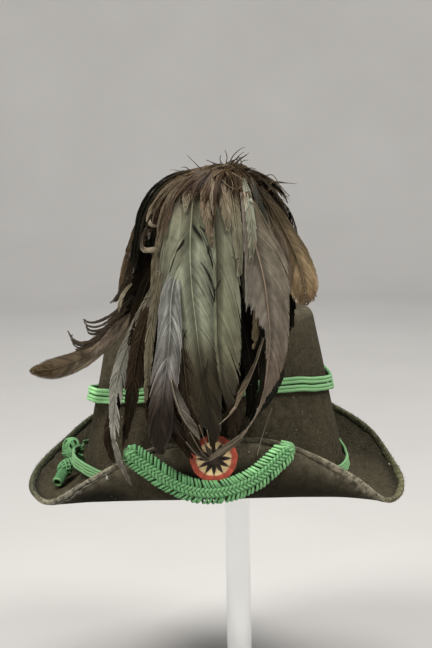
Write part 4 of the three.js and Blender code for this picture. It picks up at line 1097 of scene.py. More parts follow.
# mauve feather on the right, torn at its left side and worn to its shaft
show(front, [(244, 192, 4, 5), (249, 215, 7, 12), (254, 240, 10, 20), (260, 262, 16, 28), (265, 285, 21, 26), (268, 310, 23, 23), (270, 335, 21, 21), (269, 355, 14, 19), (267, 372, 9, 16), (265, 385, 4, 11), (262, 398, 1, 3.5), (256, 415, .6, 1), (246, 431, .6, .8), (240, 439, .5, .5)], -5,
     [(0, BRN3), (.12, (.13, .108, .075)), (.3, (.178, .156, .120)), (.55, (.188, .160, .128)), (.7, (.165, .125, .096)), (1, (.14, .11, .075))], trims=((1, .46, .63, (1.0, .36)), (1, .63, .72, (.36, .3)), (1, .72, .86, (.2, .1))),
     slits=((-1, .14, 1.6, 5), (-1, .40, .6, 3)), slant=23, small=.5, loose=.6, rc=(.22, .165, .12), rach=.7, camber=.05, tone=.05, edge=[((.205, .19, .165), .6), ((.19, .155, .108), .45)], edge_fade=False)
show_at(front, [(247, 430, .8, .8, -109), (238, 440, 3, 3, -110), (230, 446, 4.6, 4, -110), (221, 452, 4, 3.5, -109.5), (213, 457, 2.5, 2, -108.5), (205, 462, .5, .5, -107.5)], [(0, (.12, .10, .07)), (.5, (.155, .125, .085)), (1, (.2, .165, .115))], slant=14, rach=.5, normal=(0, -1, 0))
# rounded brown feather at the right edge, and its darker neighbours
show(mid_f, [(258, 188, 4, 5), (274, 212, 6, 8), (287, 236, 8, 11), (297, 258, 12, 15), (303, 278, 14, 17), (305, 290, 14.5, 16), (306, 299, 12.5, 13), (307, 305, 7, 7)], 0, [(0, DARK), (.25, (.08, .058, .032)), (.5, (.19, .142, .082)), (.8, (.205, .145, .078)), (1, (.19, .125, .064))], slant=24, small=0, loose=.3, normal=(.3, -.93, .15))
show(mid_f, [(256, 186, 4, 5), (268, 212, 6, 8), (278, 240, 7, 10), (285, 268, 6, 7), (289, 292, 2, 2)], 3, [(0, DARK), (.3, (.095, .072, .046)), (.6, (.135, .102, .072)), (1, (.12, .088, .062))], slant=18, slits=((-1, .3, 2.2, 4), (1, .4, 1.4, 3)))
show(mid_f, [(254, 180, 4, 5), (270, 196, 7, 8), (282, 216, 7, 9), (286, 240, 5, 5), (290, 258, 1, 1)], 10, [(0, (.012, .009, .005)), (.4, (.022, .016, .01)), (1, (.06, .043, .025))], slant=20, fray=.25, loose=2.2)
for k in range(30):                                          # slender streaks over the right shoulder
    k_ = (k + .5) / 30
    u1, v1 = mix(264, 291, k_ ** .8) + rng.normal(0, 2), mix(226, 196, k_) + rng.normal(0, 6)
    w_ = rng.uniform(1.4, 2.8)
    c = [(.014, .010, .006), (.030, .021, .013), (.010, .007, .005), (.050, .035, .022), (.022, .015, .010)][k % 5]
    lock(second, [(mix(240, 252, k_), 173, w_ * .7, w_ * .7), (mix(250, 272, k_), mix(190, 180, k_), w_, w_), (mix(mix(250, 272, k_), u1, .62), mix(mix(190, 180, k_), v1, .5), w_ * .9, w_ * .9), (u1, v1, .2, .2)], 1 + (k % 5) * 1.1,
         [(0, (.03, .022, .013)), (.4, c), (1, tuple(np.array(c) * 1.2))])
# grey-green strips between the middle pair and the mauve one
show(mid_f, [(251, 178, 2, 2), (257, 196, 3.5, 3.5), (263, 214, 3.5, 3.5), (268, 232, 1, 1)], -5, [(0, (.03, .021, .012)), (.3, (.016, .016, .012)), (.7, (.026, .026, .019)), (1, (.02, .017, .011))], slant=14)
show(mid_f, [(244, 178, 2, 2), (248, 198, 4.5, 4), (251, 220, 5, 5), (252, 242, 4, 4), (251, 262, 1.5, 1.5)], -5.5, [(0, (.06, .05, .03)), (.2, (.2, .21, .16)), (.6, (.21, .215, .16)), (1, (.12, .11, .075))], slant=17, slits=((-1, .3, 2, 4),))
show(mid_f, [(234, 176, 3, 3), (240, 205, 6, 6), (244, 240, 7, 6), (247, 275, 7, 6), (247, 305, 2, 2)], 3, [(0, BRN3), (.25, (.15, .14, .095)), (.7, (.18, .175, .12)), (1, (.085, .075, .05))], slant=16, slits=((1, .5, 1.4, 4),))
show(mid_f, [(226, 173, 3, 4), (232, 195, 5, 7), (236, 222, 6, 6), (239, 250, 5, 4), (240, 275, 2, 2)], -2, [(0, TOPB), (.3, (.125, .098, .06)), (.6, (.165, .155, .105)), (1, (.15, .14, .095))], slant=18, slits=((-1, .35, 1.4, 4),))
show(mid_f, [(218, 171, 3, 3), (222, 188, 5, 5), (226, 208, 6, 5), (228, 230, 2, 2)], -3, [(0, TOPB), (.4, (.16, .12, .078)), (1, (.15, .135, .09))], slant=20)
show(mid_f, [(206, 174, 2, 3), (204, 192, 4, 5), (206, 212, 5, 5), (210, 230, 4, 4), (212, 246, 1, 1)], -2.5, [(0, TOPB), (.3, (.155, .108, .066)), (.7, (.165, .13, .085)), (1, (.12, .095, .06))], slant=22, loose=2.2, fray=.15)
show(mid_f, [(190, 176, 2, 2), (187, 188, 4, 4), (186, 200, 4, 4), (185, 212, 1, 1)], -1, [(0, TOPB), (.5, (.15, .115, .075)), (1, (.17, .155, .105))], slant=22)
show(mid_f, [(212, 170, 2, 2), (212, 185, 3, 3), (213, 203, 3, 3), (214, 215, 1, 1)], -4, [(0, (.13, .09, .05)), (.5, (.2, .155, .105)), (1, (.18, .15, .1))], slant=16)
STREAKS = [(.058, .033, .017), (.030, .016, .008), (.080, .052, .029), (.046, .025, .012), (.062, .038, .021), (.020, .011, .005)]
STREAK_R = [(.012, .008, .005), (.030, .018, .009), (.018, .012, .007), (.045, .030, .018)]
for k in range(60):                                          # narrow streaks that flow from the top
    k_ = (k + .5) / 60
    u1 = mix(172, 264, k_) + rng.normal(0, 3)
    u0 = mix(202, 242, k_)
    v1 = float(np.interp(u1, [165, 180, 190, 198, 206, 213, 219, 228, 238, 250, 264], [206, 196, 190, 193, 214, 228, 197, 193, 200, 202, 196])) + rng.normal(0, 6)
    w_ = rng.uniform(1.2, 2.2)
    c = STREAKS[int(rng.integers(6))] if k_ < .52 else STREAK_R[k % 4]
    lock(mid_f if k_ < .52 else second, [(u0, 170, w_ * .6, w_ * .6), (mix(u0, u1, .5), mix(170, v1, .34), w_, w_), (mix(u0, u1, .8), mix(170, v1, .68), w_ * .8, w_ * .8), (mix(u0, u1, .93), mix(170, v1, .86), w_ * .4, w_ * .4), (u1, v1, .2, .2)], -2.5 - (k % 4) * .6,
         [(0, (.05, .032, .017)), (.35, c), (1, tuple(np.array(c) * 1.3))], 8)
# left of the middle: tan, olive and grey strips fanning down
show(mid_f, [(184, 178, 3, 3), (175, 200, 6, 6), (168, 228, 7, 8), (163, 255, 7, 8), (160, 285, 6, 6), (158, 310, 2, 2)], 3, [(0, BRN3), (.25, (.145, .115, .072)), (.7, (.175, .16, .112)), (1, (.15, .135, .09))], slant=18, slits=((-1, .6, 1.4, 4),))
show(mid_f, [(180, 180, 3, 3), (168, 202, 5, 5), (161, 230, 6, 6), (157, 262, 6, 6), (154, 295, 5, 5), (150, 325, 2, 2)], 5, [(0, BRN3), (.3, (.105, .078, .045)), (.7, (.15, .128, .082)), (1, (.145, .125, .08))], slant=16)
show(mid_f, [(160, 272, 3, 3), (155, 300, 5, 5), (151, 330, 5, 5), (148, 358, 4, 4.5), (147, 382, 3, 3.5), (145, 402, 1, 1)], 0, [(0, (.12, .1, .065)), (.4, (.155, .138, .092)), (1, (.13, .112, .072))], slant=14)
show(second, [(164, 270, 4, 4), (155, 295, 7, 7), (146, 320, 9, 8), (139, 345, 10, 9), (135, 370, 10, 10), (132, 395, 8, 7.5), (129, 416, 6, 5), (126, 434, 4, 3), (123, 447, .6, .6)], 5, [(0, (.012, .008, .005)), (.25, (.044, .030, .018)), (.5, (.035, .024, .015)), (1, (.012, .008, .005))], slant=20, slits=((-1, .6, 1.5, 4), (1, .5, 1.2, 3)))
# dark feather behind the pale narrow one, its darkness partly painted shadow of that feather
show_at(second, [(121, 392, 2, 2, -84), (113, 412, 5, 5, -85), (108.5, 432, 5, 6, -87), (109, 448, 4, 6, -90), (114, 463, .8, .8, -94)], [(0, (.02, .014, .009)), (.5, (.030, .020, .013)), (1, (.02, .014, .009))], slant=18, normal=(-.25, -.95, .1))
# pale narrow feather down the left side
show_at(front, [(158, 278, 2, 2, -99), (148, 300, 4, 3.5, -97), (138, 320, 5, 4, -93), (130, 340, 6, 6, -90), (122, 360, 7, 8, -88), (117, 380, 7.5, 9, -88), (114, 400, 5.5, 8, -90), (113, 420, 4, 7, -94), (114, 440, 3, 5, -98), (118, 458, 2.6, 3, -101), (124, 472, 2.2, 2.5, -102.5), (130, 484, .6, .6, -102)],
        [(0, (.12, .10, .068)), (.2, (.2, .185, .14)), (.45, (.25, .245, .205)), (.75, (.25, .243, .208)), (1, (.115, .1, .072))], slant=22, fray=.16, loose=2.2, normal=(-.25, -.95, .1), trims=((-1, .63, .68, .35), (-1, .76, .83, .4)), slits=((-1, .35, 2, 3), (-1, .47, 2, 3), (-1, .58, 2.4, 3)))
# long feather that strays to the far left
show_at(front, [(166, 232, 4, 4, -93), (156, 255, 8, 8, -89), (145, 280, 11, 11, -84), (132, 304, 12, 11, -78), (116, 327, 11, 10, -71), (98, 345, 11, 11, -63), (78, 360, 10.5, 10.5, -55.5), (58, 367.5, 12, 11.5, -48), (44, 370, 10.5, 9.5, -44.2), (37, 370.6, 7.5, 7, -42.8), (32.5, 370.8, 4.2, 4, -42), (29.5, 370.6, 1, 1, -41.5)],
        [(0, (.005, .0035, .002)), (.30, (.006, .004, .002)), (.38, (.05, .037, .024)), (.45, (.30, .235, .17)), (.6, (.33, .255, .185)), (.72, (.13, .097, .06)), (.84, (.098, .071, .041)), (1, (.095, .064, .034))], slant=27, normal=(-.45, -.85, .3), loose=.4, small=0,
        slits=((1, .34, 1.2, 4), (1, .44, 1.0, 4)), edge=((.12, .095, .062), .25))
show_at(front, [(134, 312, 1, 1, -80), (124, 327, 2.6, 2.6, -77.4), (111, 342, 3.2, 3.2, -71.8), (98, 355, 3, 3, -66.4), (86, 365, 2.2, 2.2, -61.4), (74, 372, .5, .5, -56.4)], [(0, (.12, .09, .06)), (.35, (.27, .215, .155)), (.7, (.29, .235, .17)), (1, (.2, .155, .1))], slant=13, normal=(-.45, -.85, .3), rach=.3, small=0, loose=.6)
CURLS = ([(133, 296), (121, 307), (108, 317), (96, 322), (88, 322), (83, 319)], [(130, 301), (117, 314), (104, 324), (94, 327), (87, 325), (84, 321)], [(126, 308), (113, 321), (103, 329), (94, 331), (88, 329), (86, 325)],
         [(122, 313), (110, 325), (101, 332), (94, 334), (89, 333), (87, 330)], [(115, 318), (104, 332), (93, 340), (82, 343), (74, 340), (70, 335), (68, 331)], [(110, 326), (100, 337), (91, 343), (82, 345.5), (75, 343), (71, 339), (72, 335)],
         [(106, 331), (97, 340), (89, 346), (81, 348), (75, 346), (72, 342)], [(101, 337), (93, 344), (86, 348), (80, 349.5), (75, 349)])
show_at(second, [(166, 232, 5, 4, -93.6), (156, 255, 13, 8.5, -90.2), (145, 280, 18, 11, -85.6), (136, 297, 18, 9, -81), (126, 311, 13, 3, -76.5), (116, 321, 7, .6, -72.5), (107, 328, .5, .5, -69)], [(0, (.004, .003, .002)), (.6, (.006, .0045, .003)), (1, (.03, .022, .014))], slant=20, normal=(-.45, -.85, .3), loose=1.6)
show(second, [(146, 226, 3, 3), (138, 246, 6, 6), (132, 264, 6, 6), (128, 279, 5.5, 5.5), (122, 291, 4, 4), (115, 299, 1.6, 1.6), (110, 303, .3, .3)], 10, [(0, (.010, .008, .005)), (.5, (.022, .016, .010)), (.85, (.05, .037, .023)), (1, (.09, .07, .045))], slant=16, loose=1.4)
show_at(second, [(52, 369.5, 6, 6, -46.9), (42, 370.2, 6, 6, -44.3), (35, 370.6, 4, 4, -42.8), (30.5, 370.6, 1, 1, -42)], [(0, (.09, .064, .036)), (1, (.085, .058, .031))], slant=27, normal=(-.45, -.85, .3), loose=.3, small=0)
for i_, rows in enumerate(CURLS):                            # broken barbs that curl back
    m_ = len(rows)
    p3 = np.array([px(u, v, -80 + k * 4.0 + .5 * (i_ % 4)) for k, (u, v) in enumerate(rows)])
    w_ = np.interp(np.linspace(0, 1, m_), [0, .4, 1], [1.1, .9, .25]) * (1 if i_ not in (0, 2, 3, 4) else 1.4)
    feather(front, p3, w_, w_, [(0, (.03, .021, .013)), (.6, (.055, .039, .024)), (1, (.035, .025, .016))], slant=11, normal=(-.4, -.85, .35), rach=.26, loose=1.0, pitch=1.5, segs=4, small=0)
show_at(front, [(132, 284, .8, .8, -83.5), (127, 289, 2.4, 2.2, -82.5), (122, 296, 2.8, 2.4, -81), (119.5, 304, 1.8, 1.6, -79.5), (119, 312, .3, .3, -78.5)], [(0, (.1, .08, .05)), (.5, (.3, .26, .185)), (1, (.2, .17, .115))], slant=12, normal=(-.4, -.85, .35), rach=.3)
# brown edge, black glossy arc, and the curled strips inside it
show(second, [(196, 174, 3, 3), (170, 182, 4, 5), (150, 202, 5, 6), (136, 230, 5, 6), (127, 258, 5, 6), (122, 280, 4.5, 5), (120, 297, 1, 1)], 12, [(0, TOPB), (.4, (.07, .05, .03)), (1, (.125, .085, .048))], slant=14, loose=2)
show(second, [(190, 171, 2, 2), (176, 175, 4, 4), (160, 185, 6, 5), (149, 198, 7, 5.5), (141, 215, 6, 6), (137, 235, 5, 5.5), (134, 254, 4, 5), (133, 268, .6, .6)], 0, [(0, (.03, .022, .012)), (.25, (.004, .004, .003)), (.6, (.005, .006, .004)), (1, (.005, .005, .004))], slant=11, slits=((1, .4, 1.5, 4), (-1, .5, 1.2, 3)))
show(front, [(196, 176, 1.5, 1.5), (178, 182, 2.5, 2.5), (165, 190, 2.4, 2.4), (155, 203, 2.4, 2.4), (149, 213, 2.2, 2.2), (147.5, 220, 1.8, 2.2), (150.5, 225, 1.4, 1.8), (159, 226.8, .5, .8)], -1, [(0, TOPB), (.2, (.09, .066, .038)), (.5, (.12, .092, .056)), (.72, (.19, .155, .10)), (.84, (.34, .29, .2)), (.93, (.2, .16, .105)), (1, (.13, .1, .065))], slant=10, rach=.3, tone=.12, loose=1.5)
show(front, [(146, 228, 1, 1.4), (142.5, 236, 1.6, 2), (141, 244, 1.4, 2), (142.5, 249.5, 1.6, 2.6), (148, 251, 2.2, 3.2), (155, 250, 1.6, 2.6)], -1.5, [(0, (.03, .022, .014)), (.35, (.075, .056, .035)), (.6, (.20, .16, .11)), (.8, (.38, .32, .225)), (1, (.24, .2, .14))], slant=10, rach=.3, tone=.12, loose=1.5)
show(front, [(145, 229, 1.5, 1.5), (148, 233, 3, 3), (149, 238, .6, .6)], -.6, [(0, (.08, .068, .05)), (1, (.10, .088, .066))], slant=14, rach=.3)
show(second, [(190, 178, 2, 2), (174, 188, 3.5, 3.5), (162, 203, 4.5, 4.5), (155, 218, 4.5, 4.5), (153, 230, 1, 1)], 0, [(0, BRN3), (.4, (.05, .026, .013)), (1, (.03, .016, .01))], slant=12)
show(second, [(158, 224, 2, 2), (151, 234, 5, 5), (149, 244, 5, 5), (151, 252, 1, 1)], 0.5, [(0, DARK), (.5, BLACK), (1, BLACK)], slant=14)
show(front, [(186, 180, 2, 2), (172, 194, 3, 3), (165, 212, 3.5, 3.5), (161, 232, 3, 3), (159, 248, 1, 1)], -1, [(0, BRN3), (.4, (.135, .1, .062)), (.8, (.18, .15, .10)), (1, (.14, .115, .072))], slant=12)
show(front, [(182, 184, 1.5, 1.5), (172, 200, 3, 3), (167, 218, 3, 3), (164, 236, 1, 1)], -1.5, [(0, BRN2), (.5, (.055, .034, .019)), (1, (.08, .055, .033))], slant=12)
show(front, [(200, 172, 2, 2), (184, 176, 3, 3), (168, 186, 3, 3), (159, 200, 2.5, 2.5), (153, 212, 1, 1)], -1, [(0, TOPB), (.5, (.10, .074, .042)), (1, (.15, .11, .066))], slant=10)
show(second, [(162, 248, 3, 3), (152, 270, 6, 6), (143, 296, 8, 7), (135, 320, 7, 7), (128, 345, 2, 2)], 6, [(0, (.010, .007, .004)), (.5, (.010, .007, .004)), (1, (.018, .012, .007))], slant=18)
for rows, c in (([(198, 174), (177, 183), (163, 197), (155, 211), (152, 223)], (.085, .062, .037)), ([(196, 176), (181, 184), (169, 196), (161, 213), (157, 230)], (.14, .108, .066)), ([(192, 177), (176, 189), (166, 206), (160, 226), (157, 246)], (.05, .034, .02)),
                ([(188, 178), (172, 186), (158, 200), (150, 216), (146, 232), (144, 246)], (.03, .021, .012)), ([(190, 174), (170, 181), (155, 195), (146, 212), (141, 230), (138, 250)], (.02, .016, .010)), ([(184, 180), (172, 192), (163, 210), (158, 232), (155, 258), (152, 276)], (.12, .095, .06))):
    q = np.linspace(0, 1, len(rows))
    w_ = np.interp(q, [0, .3, .8, 1], [.7, 1.5, 1.1, .2])
    show(second if c[0] < .06 else front, [(u, v, w, w) for (u, v), w in zip(rows, w_)], -1.6, [(0, TOPB), (.35, c), (1, c)], slant=10, rach=.28, segs=4, small=0, loose=1.4)
# dark feathers under the tips of the middle ones
show(second, [(180, 330, 4, 4), (184, 365, 9, 9), (188, 400, 11, 11), (193, 430, 8, 9), (199, 452, 1, 1)], 2, [(0, (.06, .05, .032)), (.4, (.045, .034, .023)), (1, DARK)], slant=20, slits=((1, .5, 1.6, 4), (-1, .55, 1.6, 4)))
show(second, [(168, 360, 5, 5), (172, 395, 9, 9), (176, 425, 9, 10), (184, 447, 5, 6), (192, 458, 1, 1)], 4, [(0, PURP), (.5, PURP), (1, DARK)], slant=20, slits=((-1, .5, 1.6, 4),))
show(second, [(200, 340, 5, 5), (206, 375, 11, 11), (210, 410, 11, 11), (212, 432, 8, 8), (213, 448, 1, 1)], 5, [(0, (.07, .06, .038)), (.4, (.05, .04, .025)), (1, (.025, .018, .011))], slant=20)
show(second, [(222, 350, 5, 5), (229, 380, 8, 9), (234, 405, 9, 8), (235, 425, 8, 6), (232, 443, 1, 1)], 4, [(0, (.06, .05, .033)), (.5, (.038, .028, .019)), (1, (.028, .02, .013))], slant=22, slits=((-1, .55, 1.4, 3),))
# black feather in the hollow between the middle ones: painted shade
show(second, [(236, 300, 5, 5), (245, 335, 7, 8), (250, 365, 7, 9), (251, 395, 6, 7), (247, 420, 1, 1)], 9, [(0, BLACK), (.5, (.014, .012, .01)), (1, BLACK)], slant=18)
show(second, [(256, 320, 5, 5), (264, 350, 7, 9), (266, 378, 7, 8), (260, 400, 5, 5), (250, 420, 1, 1)], 7, [(0, (.02, .017, .012)), (.6, (.03, .026, .018)), (1, (.02, .017, .012))], slant=18)
show(second, [(282, 350, 4, 4), (281, 372, 6, 5), (273, 393, 6, 4), (261, 409, 4, 2.5), (252, 420, .6, .6)], 3, [(0, (.05, .04, .03)), (.6, (.014, .015, .011)), (1, (.01, .011, .008))], slant=22, fray=.2, loose=2)
show(second, [(152, 350, 4, 4), (150, 385, 6, 7), (152, 415, 7, 8), (156, 444, 1, 1)], 2, [(0, (.06, .05, .04)), (.5, PURP), (1, DARK)], slant=18)
show(second, [(256, 304, 3, 3), (257, 318, 4, 3.5), (256, 331, 4, 3.5), (254, 346, 1, 1)], 2, [(0, (.05, .04, .025)), (.5, (.17, .135, .08)), (1, (.13, .1, .06))], slant=20, fray=.3, loose=2)
show(front, [(171, 380, 1.5, 2), (176, 400, 1.6, 6.5), (183, 418, 1.4, 8.5), (192, 431, 1, 6.5), (200, 440, .4, .6)], -3.8, [(0, (.06, .05, .038)), (.4, (.115, .102, .084)), (1, (.085, .07, .05))], slant=20, rc=(.2, .17, .125))
show(front, [(264, 338, 2, .5), (258, 358, 2, .5), (252, 374, 3.4, .6), (246, 388, 6, .6), (240, 400, 4, .6), (232, 413, 1, .5), (219, 425, .4, .4)], -1, [(0, (.05, .04, .026)), (.35, (.07, .054, .034)), (.6, (.125, .097, .058)), (1, (.14, .115, .075))], slant=16, rc=(.15, .12, .082), rach=.42)
show_at(front, [(166, 405, 4, 4, -111), (174, 424, 7, 6, -111.5), (184, 440, 7, 7.5, -111), (195, 450, 5, 6.5, -110), (203, 456, 2.6, 3.2, -109), (209, 460, .5, .5, -108)], [(0, (.03, .022, .016)), (.5, (.036, .026, .018)), (1, (.03, .022, .015))], slant=18, normal=(0, -1, 0), slits=((-1, .5, .6, 3),))
for rows in ([(272, 408), (263, 434), (257, 456)], [(199, 425), (206, 444), (211, 458)], [(190, 432), (200, 450), (208, 459)], [(186, 442), (196, 454), (207, 461)], [(207, 430), (210, 446), (212, 458)]):
    p, _ = smooth_path(place(rows, -3.5), 24)
    v, f = tube(p, np.linspace(.42, .2, 24), 6)
    front.add(v, f, (.12, .10, .068))

FILL = np.array([.35, .75, 1, 1, .85, .12])
# dark inner feathers that close the bunch; their near-black colour is painted shade of the bunch's inside
for k in range(24):
    x0 = mix(-54, 58, (k + .5) / 24) + rng.normal(0, 2)
    ztip = mix(84, 62, 1 - abs(x0) / 60) if x0 < 34 else 122
    lay = rng.uniform(9, 15)
    p3 = []
    for z in (228, 205, 170, 136, 104, max(ztip, 62)):
        z = max(z, ztip + (z - 62) * .1)
        x = x0 * float(np.interp(z, [60, 140, 205, 228], [.72, .95, .82, .45])) + np.interp(z, PL_Z, PL_X) * .6
        p3.append([x, plume_y(x, z, lay), z])
    feather(under, np.array(p3), 11 * FILL, 11 * FILL, [(0, BRN2), (.3, (.012, .009, .005)), (1, (.008, .006, .004))], pitch=2.8, segs=4, slant=22, lift=.3)

# sides and back: the bunch falls all round
SIDE = np.array([.3, .7, .95, 1, .92, .6, .05])
for ring, (cnt, rx, ry, z_right, z_left, z_back, dz) in enumerate(((20, 66, 52, 152, 118, 150, 0), (18, 58, 46, 162, 135, 164, -3), (15, 48, 36, 178, 160, 182, -5))):
    for k in range(cnt):
        phi = mix(math.radians(14), math.radians(168), (k + .5) / cnt) + rng.normal(0, .05)
        cx, sy = math.cos(phi), math.sin(phi)
        back = max(sy, 0)
        zt_ = mix(z_right if cx > 0 else z_left, z_back, min(1, back * 1.5)) + rng.normal(0, 10)
        p3 = []
        for q in np.linspace(0, 1, 7):
            r = math.sin(min(1, q * 1.25) * PI / 2) ** .85
            p3.append([4 + (rx + 3 * ring) * r * cx * (1 - .08 * q * q), -60 + ry * r * sy - 6 * r * (1 - back), mix(236 + dz, zt_, q ** 1.75)])
        c = [BRN3, (.12, .10, .066), GREY2, DARK, (.15, .13, .09), BROWN, (.06, .045, .028)][(k * 3 + ring) % 7]
        tip = [DARK, PURP, (.09, .07, .045)][k % 3]
        wd = rng.uniform(8, 11.5)
        feather(under if ring else second, np.array(p3), wd * SIDE, wd * SIDE, [(0, TOPB), (.3, c), (.7, c), (1, tip)], pitch=1.9, segs=4, slant=21, normal=unit(np.array([cx, sy * .9, .35])), camber=.25,
                slits=((1, rng.uniform(.3, .7), 2, 4), (-1, rng.uniform(.3, .7), 2, 4)))

# flanks, between the front feathers and the back ones
for k in range(20):
    right = k % 2 == 0
    phi = math.radians(mix(-58, 12, (k // 2 + .5) / 10)) if right else math.radians(mix(168, 238, (k // 2 + .5) / 10))
    cx, sy = math.cos(phi), math.sin(phi)
    zt_ = mix(112 if not right else 141, 148, min(1, max(0, (sy + .7) / .8))) + rng.normal(0, 5)
    rx = 50 if right else 48
    p3 = [[4 + rx * math.sin(min(1, q * 1.25) * PI / 2) ** .85 * cx, -62 + 33 * math.sin(min(1, q * 1.25) * PI / 2) ** .85 * sy, mix(232, zt_, q ** 1.7)] for q in np.linspace(0, 1, 7)]
    c = [DARK, (.06, .045, .028), (.10, .078, .048), (.03, .022, .014)][k % 4]
    wd = rng.uniform(8, 11)
    feather(under, np.array(p3), wd * SIDE, wd * SIDE, [(0, BRN2), (.3, c), (.8, c), (1, DARK)], pitch=2.3, segs=4, slant=21, normal=unit(np.array([cx, sy * .6, .25])), camber=.25)
# short feathers that spread from the binding point over the top
for k in range(26):
    phi = k / 26 * 2 * PI + rng.normal(0, .08)
    cx, sy = math.cos(phi), math.sin(phi)
    ln = rng.uniform(.8, 1.15)
    p3 = [[6 + ln * r * cx * 1.15, -63 + ln * r * sy * .85, 243.5 - dz + rng.normal(0, .4)] for r, dz in ((1, 0), (10, .8), (22, 4.5), (33, 12), (40, 23))]
    w_ = rng.uniform(4.5, 6.5)
    c = [(.055, .033, .017), (.075, .048, .026), (.040, .027, .015), (.088, .060, .034), (.056, .039, .022)][k % 5] if cx < .35 else [DARK, (.026, .019, .012), (.014, .010, .006)][k % 3]
    feather(mid_f, np.array(p3), w_ * np.array([.5, .9, 1, .8, .1]), w_ * np.array([.5, .9, 1, .8, .1]), [(0, BRN2), (.3, c), (1, c)], slant=22, normal=unit(np.array([cx * .7, sy * .7, .8])), loose=1.5, pitch=1.5, segs=4)

# loose barbs and broken ends at the top
wisps = Parts()
for k in range(70):
    if k < 26:
        u0, v0, d = rng.uniform(214, 244), rng.uniform(168, 176), (rng.uniform(-13, 13), rng.uniform(-10, -1))
    elif k < 56:
        u0, v0, d = rng.uniform(246, 276), rng.uniform(174, 196), (rng.uniform(7, 17), rng.uniform(5, 22))
    else:
        u0, v0, d = rng.uniform(180, 214), rng.uniform(171, 177), (rng.uniform(-13, -3), rng.uniform(-4, 4))
    y0 = rng.uniform(-80, -64)
    p3 = np.array([px(u0 - d[0] * .5, v0 - d[1] * .3 + 6, y0), px(u0, v0, y0), px(u0 + d[0] * .6, v0 + d[1] * .7, y0 + rng.normal(0, 1)), px(u0 + d[0], v0 + d[1] + 1, y0 + rng.normal(0, 2))])
    p, _ = smooth_path(p3, 12)
    v, f = tube(p, np.linspace(.42, .12, 12), 5)
    wisps.add(v, f, [(.05, .034, .02), (.03, .02, .012), (.12, .09, .056)][k % 3])
for rows in ([(262, 180), (276, 182), (288, 183), (297, 184)], [(206, 172), (200, 168), (193, 161), (187, 155)], [(232, 170), (236, 164), (241, 159), (247, 155)], [(228, 171), (222, 166), (214, 163), (206, 160)], [(226, 170), (232, 162), (238, 158), (244, 157)], [(224, 170), (228, 164), (234, 160), (240, 160)], [(190, 171), (187, 168), (184, 167), (181, 168)]):
    p, _ = smooth_path(np.array([px(u, v, -72) for u, v in rows]), 20)
    v, f = tube(p, np.linspace(.48, .15, 20), 5)
    wisps.add(v, f, (.055, .038, .022))
for rows in ([(226, 173), (229, 164), (233, 156), (239, 150), (245, 147)], [(229, 173), (233, 165), (240, 159), (249, 153)], [(224, 172), (226, 164), (227, 157), (225, 150)], [(232, 173), (238, 166), (243, 161), (248, 160)], [(222, 173), (218, 167), (213, 163), (207, 160)],
             [(236, 174), (240, 168), (241, 161), (238, 156)], [(220, 174), (224, 166), (231, 161), (238, 159)], [(230, 174), (231, 166), (235, 160), (241, 154), (244, 152)], [(226, 173), (222, 165), (220, 160), (221, 155)], [(234, 175), (242, 170), (250, 168), (256, 169)]):
    p, _ = smooth_path(np.array([px(u, v, -70 + 3 * (i_ % 3)) for i_, (u, v) in enumerate(rows)]), 18)
    v, f = tube(p, np.linspace(.62, .16, 18), 5)
    wisps.add(v, f, (.045, .030, .017))
for rows in ([(222, 180), (230, 187), (238, 189), (242, 183), (240, 175)], [(213, 177), (221, 171), (230, 168), (238, 171)], [(206, 174), (214, 168), (223, 166), (230, 168)], [(232, 173), (240, 178), (245, 185), (247, 193)], [(194, 180), (203, 173), (212, 170)], [(226, 172), (231, 179), (233, 187), (231, 194)]):
    p, _ = smooth_path(place(rows, -4.5), 20)
    v, f = tube(p, np.linspace(.36, .16, 20), 5)
    wisps.add(v, f, (.17, .13, .082))
for k in range(34):
    u0, v0 = rng.uniform(214, 240), rng.uniform(166, 178)
    a = rng.uniform(-PI, PI)
    L = rng.uniform(8, 15)
    o = px(u0, v0, -72 + rng.normal(0, 4))
    d = np.array([math.cos(a), .3 * rng.normal(), .55 * math.sin(a)])
    p3 = np.array([o - d * L * .4, o, o + d * L * .4 + [0, 0, -.3], o + d * L * .75 + [0, 0, -1.6]])
    p3[:, 2] = np.minimum(p3[:, 2], 246)
    w_ = rng.uniform(1.5, 3.0)
    feather(wisps, p3, w_ * np.array([.6, 1, .9, .1]), w_ * np.array([.6, 1, .9, .1]), [(0, (.04, .028, .016)), (1, (.07, .05, .03) if k % 3 else (.16, .125, .08))], pitch=1.1, segs=4, fray=.3, loose=2, slant=24, rach=.3, normal=(.1, -.9, .45))

for ps, name in ((front, "feathers_front"), (mid_f, "feathers_middle"), (second, "feathers_second"), (under, "feathers_under"), (wisps, "feathers_top_wisps")):
    ob = ps.build(name, VANE if ps in (front, mid_f) else VANE_DARK)
    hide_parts("plume")
    pieces.append(ob)

# ------------------------------------------------------------------ stand, turned smooth


def turned(name, node, rows, seg=96):
    rows = np.array(rows, float)
    h = np.arange(seg) / seg * 2 * PI
    rings = np.stack([np.stack([r * np.cos(h), r * np.sin(h), z + 0 * h], -1) for r, z in rows])
    v, f = loft(rings, first=np.array([0, 0, rows[0, 1]]), last=np.array([0, 0, rows[-1, 1]]))
    ps = Parts()
    ps.add(v - SHIFT, f, (.9, .9, .9))
    ob = ps.build(name, CLEAR)
    mod = ob.modifiers.new("edges", "EDGE_SPLIT")
    mod.split_angle = math.radians(35)
    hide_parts(node)
    pieces.append(ob)


def plate(r, z0, z1, e=1.0):
    return [(r - e - .3, z0), (r - e, z0), (r - e * .3, z0 + e * .3), (r, z0 + e), (r, z1 - e), (r - e * .3, z1 - e * .3), (r - e, z1), (r - e - .3, z1)]


